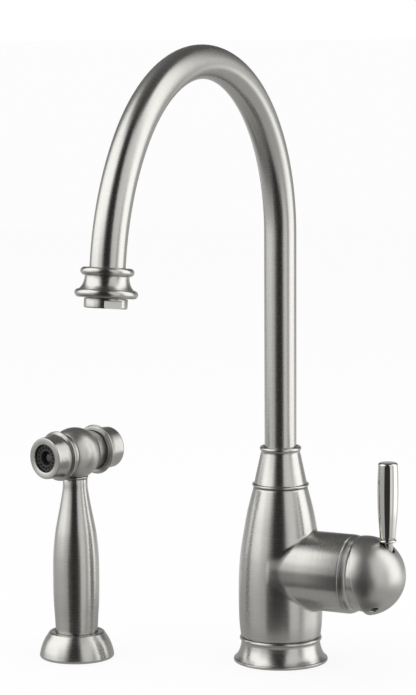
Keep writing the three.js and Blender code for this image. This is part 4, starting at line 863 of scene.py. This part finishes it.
def head_ball():
    outline = [
        (0, -19.2),
        (13.4, -19.2),
        (13.4, -11.6),
        *arc(0, 0, HEAD_BALL, -39.3, 35.8, 30),
        (12.1, 10.6),
        (12.1, 14),
        (9, 14),
        (9, 4.7),
        (0, 4.7),
    ]
    piece = turned("head_ball", outline, along_head, sides=112)
    flat_foot = cutting_block((50, 50, 10), (0, 0, -20.6), at_head)
    return drilled(piece, [flat_foot, drill_bit(5.5, -25, 0, at_head)])


def bezel():
    edge = 0.6
    outline = [
        (12.4, 10.9),
        (14.9, 10.9),
        *smooth([(15.0, 11.6), (15.1, 13.0), (15.6, 14.3), (16.6, 15.4)], 5),
        *arc(FLANGE_RADIUS - FLANGE_BEAD, BEZEL_FLANGE, FLANGE_BEAD, -60, 60, 10),
        *smooth([(16.4, BEZEL_FLANGE + 1.5), (15.4, BEZEL_FLANGE + 2.6),
                 (14.9, BEZEL_FLANGE + 4.2), (14.75, BEZEL_FLANGE + 6)], 5),
        *arc(RIM_RADIUS - edge, BEZEL_FRONT - edge, edge, 0, 90, 6),
        (9.9, BEZEL_FRONT),
        (9.9, 26.2),
        (12.4, 26.2),
    ]
    return turned("bezel", outline, along_head)


def thumb_button():
    end = BUTTON_END
    edge = 2.4
    outline = [
        (0, end),
        (8.5, end + 0.15),
        *arc(RIM_RADIUS - edge, end + 3.0, edge, -82, 0, 10),
        *smooth([(14.5, BUTTON_FLANGE - 6), (14.8, BUTTON_FLANGE - 4.2),
                 (15.3, BUTTON_FLANGE - 2.6), (16.4, BUTTON_FLANGE - 1.5)], 5),
        *arc(FLANGE_RADIUS - FLANGE_BEAD, BUTTON_FLANGE, FLANGE_BEAD, -60, 60, 10),
        (16.4, -18.9),
        (13.8, -18.9),
        (13.8, -24),
        (11.4, -26),
        (11.4, end + 3),
        (5, end + 3),
        (5, end + 8),
        (2.3, end + 8),
        (2.3, end + 4),
        (0, end + 4),
    ]
    return turned("thumb_button_turned", outline, along_head)


settle(head_ball(), "hand_spray", "brushed_nickel", "spray_head")
settle(bezel(), "hand_spray", "brushed_nickel", "nozzle_bezel")
settle(thumb_button(), "thumb_button", "brushed_nickel", "spray_button")
print("head at height", HEAD_HEIGHT)

# %% [markdown]
# ## The spray face
#
# The face is a black rubber disc. Sixteen jets stand in a ring round a deep well, and the tip of
# the spray valve shows at the bottom of the well.

# %% Spray face
FACE_FRONT = 28.4
WELL_RADIUS = 4.9
JETS = 16
JET_CIRCLE = 7.1
JET_HOLE = 0.7


def face():
    back = FACE_FRONT - 6.4
    outline = [
        (3.1, back),
        (12, back),
        (12, 25.9),
        (9.6, 25.9),
        *arc(9.6 - 0.5, FACE_FRONT - 0.5, 0.5, 0, 90, 4),
        *arc(WELL_RADIUS + 0.4, FACE_FRONT - 0.4, 0.4, 90, 180, 4),
        (4.8, FACE_FRONT - 4.6),
        (3.1, FACE_FRONT - 4.6),
    ]
    piece = turned("face", outline, along_head, bevel=0.05)
    bits = drill_circle(JETS, JET_CIRCLE, JET_HOLE, back - 1, FACE_FRONT + 1, along_head, 16)
    return drilled(piece, [joined("jet_drills", bits)])


def plunger():
    outline = [
        (0, 16),
        (6.5, 16),
        (6.5, 18),
        (2.8, 19),
        *arc(2.8 - 0.5, FACE_FRONT - 3.1, 0.5, 0, 90, 5),
        (0, FACE_FRONT - 2.6),
    ]
    return turned("plunger", outline, along_head, sides=48)


settle(face(), "hand_spray", "black_rubber", "spray_face")
settle(plunger(), "hand_spray", "grey_plastic", "nozzle_plunger")
print("jets:", JETS)

# %% [markdown]
# ## Under the countertop
#
# Two threaded shanks go through the countertop, each with a washer and a flanged nut. The threads
# are rings rather than a true helix: at this pitch the eye can't tell, and rings stay light.

# %% Shanks, washers and nuts
THREAD_PITCH = 1.5
THREAD_DEPTH = 0.7
MAIN_BORE = 16.9
SPRAY_BORE = 11.3
COUNTERTOP_UNDERSIDE = -25


def threaded_tube(name, inner, outer, bottom, thread_top, top_points, place=Matrix()):
    """A tube with ring grooves up to a height, closed by the points of its top."""
    root = outer - THREAD_DEPTH
    outline = [(inner, bottom)]
    z = bottom
    while z + THREAD_PITCH <= thread_top:
        outline += [(root, z), (outer, z + THREAD_PITCH / 2)]
        z += THREAD_PITCH
    outline.append((root, z))
    outline += top_points
    return turned(name, outline, place, sides=64, bevel=0)


def main_shank():
    inner = 13.5
    top = [(16.0, 18), (23.2, 18), (23.2, 24), (inner, 24)]
    return threaded_tube("main_shank", inner, 16.5, -60, 16, top)


def spray_shank():
    inner = 8.7
    top = [(10.7, 9.1), (inner, 9.1)]
    return threaded_tube("spray_shank", inner, 10.9, -45, 8.6, top, at_stand)


def hexagon_nut(name, flat, bore, bottom, top, flange_radius, place=Matrix()):
    """A hexagon, turned with six sides and drilled, and its pressing flange."""
    corner = flat / math.cos(math.pi / 6)
    flange_foot = top - 2.5
    hexagon_top = flange_foot - 0.1
    outline = [
        (0, bottom),
        (corner - 1.4, bottom),
        (corner, bottom + 0.9),
        (corner, hexagon_top),
        (0, hexagon_top),
    ]
    hexagon = turned(name + "_hexagon", outline, place, sides=6, bevel=0.3)
    drilled(hexagon, [drill_bit(bore, bottom - 1, top, place, 64)])
    flange = ring(name + "_flange", bore, flange_radius, flange_foot, top, place)
    return hexagon, flange


settle(main_shank(), "faucet_body", "turned_brass", "mounting_shank")
settle(spray_shank(), "faucet_body", "turned_brass", "holder_shank")
for piece in hexagon_nut("main_nut", 23, MAIN_BORE, -40.5, -29.5, 27.0):
    settle(piece, "faucet_body", "turned_brass", "mounting_nut")
for piece in hexagon_nut("spray_nut", 15, SPRAY_BORE, -36.3, -27.3, 18.0, at_stand):
    settle(piece, "faucet_body", "turned_brass", "holder_nut")
settle(ring("main_rubber_washer", MAIN_BORE, 29, -27.4, COUNTERTOP_UNDERSIDE, edge=0.5),
       "faucet_body", "black_rubber", "deck_washer")
settle(ring("main_clamp_washer", MAIN_BORE, 27.5, -29.2, -27.7),
       "faucet_body", "steel", "clamp_washer")
settle(ring("spray_rubber_washer", SPRAY_BORE, 18.5, -27, COUNTERTOP_UNDERSIDE, at_stand, 0.5),
       "faucet_body", "black_rubber", "holder_washer")
print("fixings made")

# %% [markdown]
# ## Helpers for the finishes
#
# A finish is a Principled material with a few nodes in front of it. These helpers add the nodes
# that several finishes share. The important one is the stretched noise: it changes quickly along
# a piece's outline and slowly round it, which is how brushing and turning lines run. It reads the
# `brushing` attribute that the lathe stored.

# %% Node helpers
NOISE_RANGE = (0.25, 0.75)
SHADES_BETWEEN = (0.3, 0.7)
QUARTER_TURN = 0.25


def finish(name, colour, metallic, roughness):
    """A Principled material with its plain values set on the shader's own sockets."""
    material = bpy.data.materials.new(name)
    material.use_nodes = True
    shader = material.node_tree.nodes["Principled BSDF"]
    shader.inputs["Base Color"].default_value = (*colour, 1)
    shader.inputs["Metallic"].default_value = metallic
    shader.inputs["Roughness"].default_value = roughness
    return material, shader


def add(owner, kind, **values):
    """Adds a node to a material or the world, and sets its inputs by name."""
    node = owner.node_tree.nodes.new(kind)
    for key, value in values.items():
        node.inputs[key.replace("_", " ")].default_value = value
    return node


def link(owner, source, target):
    owner.node_tree.links.new(source, target)


def stretched_noise(material, scale, detail=3):
    """Noise that runs round a turned piece: fast along the outline, slow round it."""
    where = add(material, "ShaderNodeAttribute")
    where.attribute_name = "brushing"
    stretch = add(material, "ShaderNodeVectorMath")
    stretch.operation = "MULTIPLY"
    stretch.inputs[1].default_value = scale
    link(material, where.outputs["Vector"], stretch.inputs[0])
    noise = add(material, "ShaderNodeTexNoise", Scale=1.0, Detail=detail, Roughness=0.6)
    link(material, stretch.outputs["Vector"], noise.inputs["Vector"])
    return noise.outputs["Fac"]


def ranged(material, source, low, high):
    """Spreads noise, which seldom leaves the middle half of 0 to 1, over a range."""
    node = add(
        material, "ShaderNodeMapRange",
        From_Min=NOISE_RANGE[0], From_Max=NOISE_RANGE[1], To_Min=low, To_Max=high,
    )
    link(material, source, node.inputs["Value"])
    return node.outputs["Result"]


def bumped(material, shader, source, strength, distance):
    bump = add(material, "ShaderNodeBump", Strength=strength, Distance=distance)
    link(material, source, bump.inputs["Height"])
    link(material, bump.outputs["Normal"], shader.inputs["Normal"])
    return bump


def brushed_around(material, shader, amount):
    """Brushing runs round the piece, so a highlight stretches across it, along the outline."""
    shader.inputs["Anisotropic"].default_value = amount
    shader.inputs["Anisotropic Rotation"].default_value = QUARTER_TURN
    tangent = add(material, "ShaderNodeTangent")
    tangent.direction_type = "UV_MAP"
    tangent.uv_map = "turning"
    link(material, tangent.outputs["Tangent"], shader.inputs["Tangent"])


def tinted(material, shader, source, dark, light):
    """Blends the base colour between two close shades."""
    ramp = add(material, "ShaderNodeValToRGB")
    for stop, position, shade in zip(ramp.color_ramp.elements, SHADES_BETWEEN, (dark, light)):
        stop.position = position
        stop.color = (*shade, 1)
    link(material, source, ramp.inputs["Fac"])
    link(material, ramp.outputs["Color"], shader.inputs["Base Color"])


print("finish helpers ready")

# %% [markdown]
# ## Brushed, satin and polished nickel
#
# Nickel is a slightly warm grey metal. Brushed, it has fine lines round every turned piece: the
# roughness and a very shallow bump follow the stretched noise, and the highlight stretches across
# the lines. On the body, a Bevel node also rounds the corner between vase and barrel in the
# shading, as the casting's fillet does. Blasted to a satin, on the round ball of the valve and
# the spray head, it has no lines and its highlights are broad. Polished, on the lever, it is
# nearly a mirror.

# %% Nickel
LINE_DEPTH = 0.00003
CLOUDS = 0.01


def matt_nickel(name, colour, roughness, rough, lines, clouds, bump):
    """Nickel with a fine pattern in its shine and surface, and faint clouds in its colour."""
    material, shader = finish(name, colour, 1.0, roughness)
    fine = stretched_noise(material, lines)
    broad = stretched_noise(material, clouds, 2)
    link(material, ranged(material, fine, *rough), shader.inputs["Roughness"])
    dark, light = [[c + step for c in colour] for step in (-CLOUDS, CLOUDS)]
    tinted(material, shader, broad, dark, light)
    return material, shader, bumped(material, shader, fine, bump, LINE_DEPTH)


def brushed_nickel(name="brushed_nickel", fillet=0):
    """Brushed nickel, which can round the inner corners of a casting by a fillet."""
    material, shader, bump = matt_nickel(
        name, (0.52, 0.51, 0.485), 0.27, (0.255, 0.3), (0.9, 0.9, 11.0), (1.6, 1.6, 0.35), 0.04,
    )
    if fillet:
        rounded = add(material, "ShaderNodeBevel", Radius=fillet * MM)
        rounded.samples = 8
        link(material, rounded.outputs["Normal"], bump.inputs["Normal"])
    brushed_around(material, shader, 0.75)
    return material


def satin_nickel():
    return matt_nickel(
        "satin_nickel", (0.53, 0.52, 0.495), 0.36, (0.34, 0.38), (3.0, 3.0, 5.0),
        (0.8, 0.8, 0.3), 0.06,
    )[0]


def polished_nickel():
    material, shader = finish("polished_nickel", (0.66, 0.645, 0.605), 1.0, 0.06)
    fine = stretched_noise(material, (0.6, 0.6, 3.0), 2)
    link(material, ranged(material, fine, 0.05, 0.1), shader.inputs["Roughness"])
    return material


print("nickel finishes ready")

# %% [markdown]
# ## Finishes: brass, steel, rubber, plastic and ceramic
#
# The pieces that hide inside or under the countertop are bare brass, stainless steel, black
# rubber, moulded plastic and white ceramic. Each has its own small irregularities: a fine grain
# in the shine of brass and steel, a dull mottled skin on rubber, and a faint grain on plastic.

# %% Other finishes
GRAIN_DEPTH = 0.0001


def grained(name, colour, metallic, rough, shade, scale, bump):
    """A finish whose colour, roughness and surface all vary with one fine noise, in metres."""
    material, shader = finish(name, colour, metallic, sum(rough) / 2)
    place = add(material, "ShaderNodeTexCoord")
    noise = add(material, "ShaderNodeTexNoise", Scale=scale, Detail=3, Roughness=0.55)
    link(material, place.outputs["Object"], noise.inputs["Vector"])
    grain = noise.outputs["Fac"]
    link(material, ranged(material, grain, *rough), shader.inputs["Roughness"])
    dark = [c * (1 - shade) for c in colour]
    light = [min(c * (1 + shade), 1) for c in colour]
    tinted(material, shader, grain, dark, light)
    bumped(material, shader, grain, bump, GRAIN_DEPTH)
    return material


FINISHES = {
    "brushed_nickel": brushed_nickel(),
    "cast_nickel": brushed_nickel("cast_nickel", fillet=2.5),
    "satin_nickel": satin_nickel(),
    "polished_nickel": polished_nickel(),
}
GRAINED = {
    "turned_brass": ((0.62, 0.42, 0.16), 1.0, (0.22, 0.34), 0.08, 900, 0.08),
    "steel": ((0.55, 0.55, 0.56), 1.0, (0.22, 0.34), 0.05, 1200, 0.06),
    "black_rubber": ((0.012, 0.012, 0.012), 0.0, (0.45, 0.6), 0.25, 1500, 0.15),
    "grey_plastic": ((0.05, 0.05, 0.052), 0.0, (0.35, 0.5), 0.08, 1400, 0.08),
    "white_plastic": ((0.78, 0.77, 0.72), 0.0, (0.35, 0.48), 0.03, 1400, 0.06),
    "ceramic": ((0.86, 0.84, 0.79), 0.0, (0.2, 0.3), 0.03, 1100, 0.04),
}
for name, settings in GRAINED.items():
    FINISHES[name] = grained(name, *settings)

OWN_FINISH = {"body": "cast_nickel", "ball_hub": "satin_nickel", "head_ball": "satin_nickel"}
slot_of_node = {part["node"]: part["material_slot"] for part in frame["record"]["subparts"]}
for name, node in frame["nodes"].items():
    node.data.materials.clear()
    node.data.materials.append(FINISHES[slot_of_node[name]])
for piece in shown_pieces():
    if "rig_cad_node" not in piece:
        piece.data.materials.clear()
        piece.data.materials.append(FINISHES[OWN_FINISH.get(piece.name, piece["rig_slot"])])

# %% [markdown]
# ## The background
#
# The background is plain white for the camera, and the metal sees it too, so the world is white
# for camera, glossy and transmission rays and a little dimmer for the light that it sheds. The
# pale floor is mostly white to the camera, with enough of its own shading left to keep the
# faucet's soft shadow. It lies a hair below the foot, so that the two surfaces don't flicker.

# %% World and floor
FLOOR_LEVEL = -0.0002
FLOOR_SIZE = 80
FLOOR_WHITENESS = 0.87
WORLD_LIGHT = 0.95


def by_ray(owner, shed, seen):
    """One value for the light that is shed, and one for what the camera, metal or glass sees."""
    rays = add(owner, "ShaderNodeLightPath")
    direct = rays.outputs["Is Camera Ray"]
    for name in ("Is Glossy Ray", "Is Transmission Ray"):
        either = add(owner, "ShaderNodeMath")
        either.operation = "MAXIMUM"
        link(owner, direct, either.inputs[0])
        link(owner, rays.outputs[name], either.inputs[1])
        direct = either.outputs["Value"]
    chosen = add(owner, "ShaderNodeMapRange", To_Min=shed, To_Max=seen)
    link(owner, direct, chosen.inputs["Value"])
    return chosen.outputs["Result"]


def white_world():
    world = bpy.data.worlds.new("studio")
    world.use_nodes = True
    background = world.node_tree.nodes["Background"]
    background.inputs["Color"].default_value = (1, 1, 1, 1)
    link(world, by_ray(world, WORLD_LIGHT, 1.0), background.inputs["Strength"])
    scene.world = world


def floor():
    bm = bmesh.new()
    bmesh.ops.create_grid(bm, x_segments=1, y_segments=1, size=FLOOR_SIZE)
    bmesh.ops.translate(bm, vec=(0, 0, FLOOR_LEVEL), verts=bm.verts)
    top = in_scene("countertop", as_mesh("countertop", bm))
    material, shader = finish("pale_floor", (0.86, 0.86, 0.86), 0.0, 0.7)
    white = add(material, "ShaderNodeEmission")
    mix = add(material, "ShaderNodeMixShader")
    output = material.node_tree.nodes["Material Output"]
    link(material, by_ray(material, 0.0, FLOOR_WHITENESS), mix.inputs["Fac"])
    link(material, shader.outputs["BSDF"], mix.inputs[1])
    link(material, white.outputs["Emission"], mix.inputs[2])
    link(material, mix.outputs["Shader"], output.inputs["Surface"])
    top.data.materials.append(material)
    top.visible_glossy = False


white_world()
floor()
print("floor at z =", FLOOR_LEVEL, "m")

# %% [markdown]
# ## Boards
#
# Satin metal is a mirror of the studio, so its look is made by what stands round it, as a product
# photographer does with boards. Each board is a patch of a large sphere round the faucet, which
# only reflections see. Its edges fade out, because a hard edge would draw a line in the metal.

# %% How a board is made
MIDDLE = Vector((0, -0.08, 0.15))
DEGREES_PER_FACE = 3


def way(right, up):
    """The direction some degrees right of the camera and some degrees up."""
    azimuth = CAMERA_YAW - math.pi / 2 + math.radians(right)
    height = math.radians(up)
    flat = math.cos(height)
    return Vector((flat * math.cos(azimuth), flat * math.sin(azimuth), math.sin(height)))


def faded(distance, softness):
    """0 at the outer end of a soft edge and 1 at its inner end."""
    if softness == 0:
        return 1
    share = min(max(distance / softness, 0), 1)
    return share * share * (3 - 2 * share)


def board_shape(name, across, upward, soft, distance):
    """A patch of a sphere, whose `cover` attribute fades to 0 along its soft edges."""
    left, right = across[0] - soft[0] / 2, across[1] + soft[1] / 2
    low, high = upward[0] - soft[2] / 2, upward[1] + soft[3] / 2
    bm = bmesh.new()
    columns = max(4, round((right - left) / DEGREES_PER_FACE))
    rows = max(4, round((high - low) / DEGREES_PER_FACE))
    bmesh.ops.create_grid(bm, x_segments=columns, y_segments=rows, size=0.5)
    cover = bm.verts.layers.float.new("cover")
    for vert in bm.verts:
        turned_by = left + (right - left) * (vert.co.x + 0.5)
        raised_by = low + (high - low) * (vert.co.y + 0.5)
        sideways = faded(turned_by - left, soft[0]) * faded(right - turned_by, soft[1])
        upright = faded(raised_by - low, soft[2]) * faded(high - raised_by, soft[3])
        vert[cover] = sideways * upright
        vert.co = MIDDLE + way(turned_by, raised_by) * distance
    return as_mesh(name, bm)


def board_paint(name, brightness):
    """Even light where the board covers, and clear where it has faded out."""
    material = bpy.data.materials.new(name + "_paint")
    material.use_nodes = True
    material.node_tree.nodes.clear()
    glow = add(material, "ShaderNodeEmission", Strength=brightness)
    cover = add(material, "ShaderNodeAttribute")
    cover.attribute_name = "cover"
    mix = add(material, "ShaderNodeMixShader")
    clear = add(material, "ShaderNodeBsdfTransparent")
    output = add(material, "ShaderNodeOutputMaterial")
    link(material, cover.outputs["Fac"], mix.inputs["Fac"])
    link(material, clear.outputs["BSDF"], mix.inputs[1])
    link(material, glow.outputs["Emission"], mix.inputs[2])
    link(material, mix.outputs["Shader"], output.inputs["Surface"])
    return material


def only_reflected(name, mesh, brightness):
    """Puts a board in the studio where only reflections see it."""
    mesh.materials.append(board_paint(name, brightness))
    panel = in_scene(name, mesh)
    panel.visible_camera = False
    panel.visible_diffuse = False
    panel.visible_shadow = False


print("boards can be made")

# %% [markdown]
# ## Where the boards stand
#
# Each row says how bright a board is, from where to where it reaches in degrees right of the
# camera and in degrees above the countertop, and how soft its left, right, lower and upper edges
# are. A dark one in front draws the band down the middle of every upright form, and a low strip
# widens that band in the lever. Bright ones stand at the sides, and dim ones above, below and
# behind. A board stands a little nearer than the ones after it, so it covers them where they
# overlap.

# %% Boards
BOARD_DISTANCE = 3.0
BOARD_STEP = 0.05
BOARDS = {
    "lever_dark": (0.04, (-42, 24), (-30, 1), (6, 5, 8, 6)),
    "dark_front": (0.03, (-34, 15), (-62, 76), (24, 7, 12, 8)),
    "left_high": (1.9, (-74, -42), (22, 62), (14, 14, 16, 14)),
    "left_deep": (0.18, (-140, -30), (-62, -28), (14, 14, 12, 16)),
    "left_bright": (1.85, (-122, -62), (-1, 62), (24, 24, 14, 14)),
    "left_low": (0.52, (-136, -30), (-62, 2), (14, 14, 12, 10)),
    "right_gap": (0.4, (52, 62), (-20, 18), (8, 8, 12, 12)),
    "right_bright": (1.95, (70, 114), (-16, 64), (10, 12, 12, 12)),
    "right_low": (0.55, (15, 130), (-62, -20), (0, 12, 12, 12)),
    "back_low": (0.5, (130, 230), (-62, -14), (12, 12, 12, 12)),
    "back_grey": (0.45, (114, 236), (-8, 12), (8, 12, 8, 10)),
    "back_high": (0.13, (122, 236), (9, 66), (12, 12, 12, 14)),
    "ceiling": (0.1, (-180, 180), (62, 90), (0, 0, 14, 0)),
    "ground": (0.15, (-180, 180), (-90, -62), (0, 0, 0, 12)),
}
for number, (name, (brightness, across, upward, soft)) in enumerate(BOARDS.items()):
    shape = board_shape(name, across, upward, soft, BOARD_DISTANCE + BOARD_STEP * number)
    only_reflected(name, shape, brightness)
print("boards:", len(BOARDS))

# %% [markdown]
# ## Lamps and a mat
#
# Three soft lamps help the world to light the floor, the rubber and the plastic, which the boards
# don't reach. The metal's reflections don't see the floor, so a grey mat lies under the faucet
# for them. Without it they would look through the countertop at the brass fixings.

# %% Lamps and mat
LAMP_DISTANCE = 1.7
MAT_SIZE = (0.37, 0.21, 1)
MAT_PLACE = (-0.125, 0.015, 2 * FLOOR_LEVEL)
MAT_GREY = 0.45


def soft_light(name, direction, size, power):
    """A square lamp that shines at the faucet's middle."""
    data = bpy.data.lights.new(name, "AREA")
    data.size = size
    data.energy = power
    lamp = bpy.data.objects.new(name, data)
    lamp.location = MIDDLE + direction * LAMP_DISTANCE
    lamp.rotation_euler = (MIDDLE - lamp.location).to_track_quat("-Z", "Y").to_euler()
    lamp.visible_glossy = False
    scene.collection.objects.link(lamp)


def counter_mat():
    bm = bmesh.new()
    bmesh.ops.create_grid(bm, x_segments=1, y_segments=1, size=0.5)
    bmesh.ops.scale(bm, vec=MAT_SIZE, verts=bm.verts)
    bmesh.ops.translate(bm, vec=MAT_PLACE, verts=bm.verts)
    cover = bm.verts.layers.float.new("cover")
    for vert in bm.verts:
        vert[cover] = 1
    only_reflected("counter_mat", as_mesh("counter_mat", bm), MAT_GREY)


soft_light("left_light", way(-60, 45), 1.0, 4)
soft_light("right_light", way(60, 45), 1.0, 4)
soft_light("top_light", way(180, 75), 1.2, 3)
counter_mat()
print("lamps:", len(bpy.data.lights))

# %% [markdown]
# ## Finish

# The new pieces have to stay inside the imported model's box.

# %% Finish
print("the scene is built")
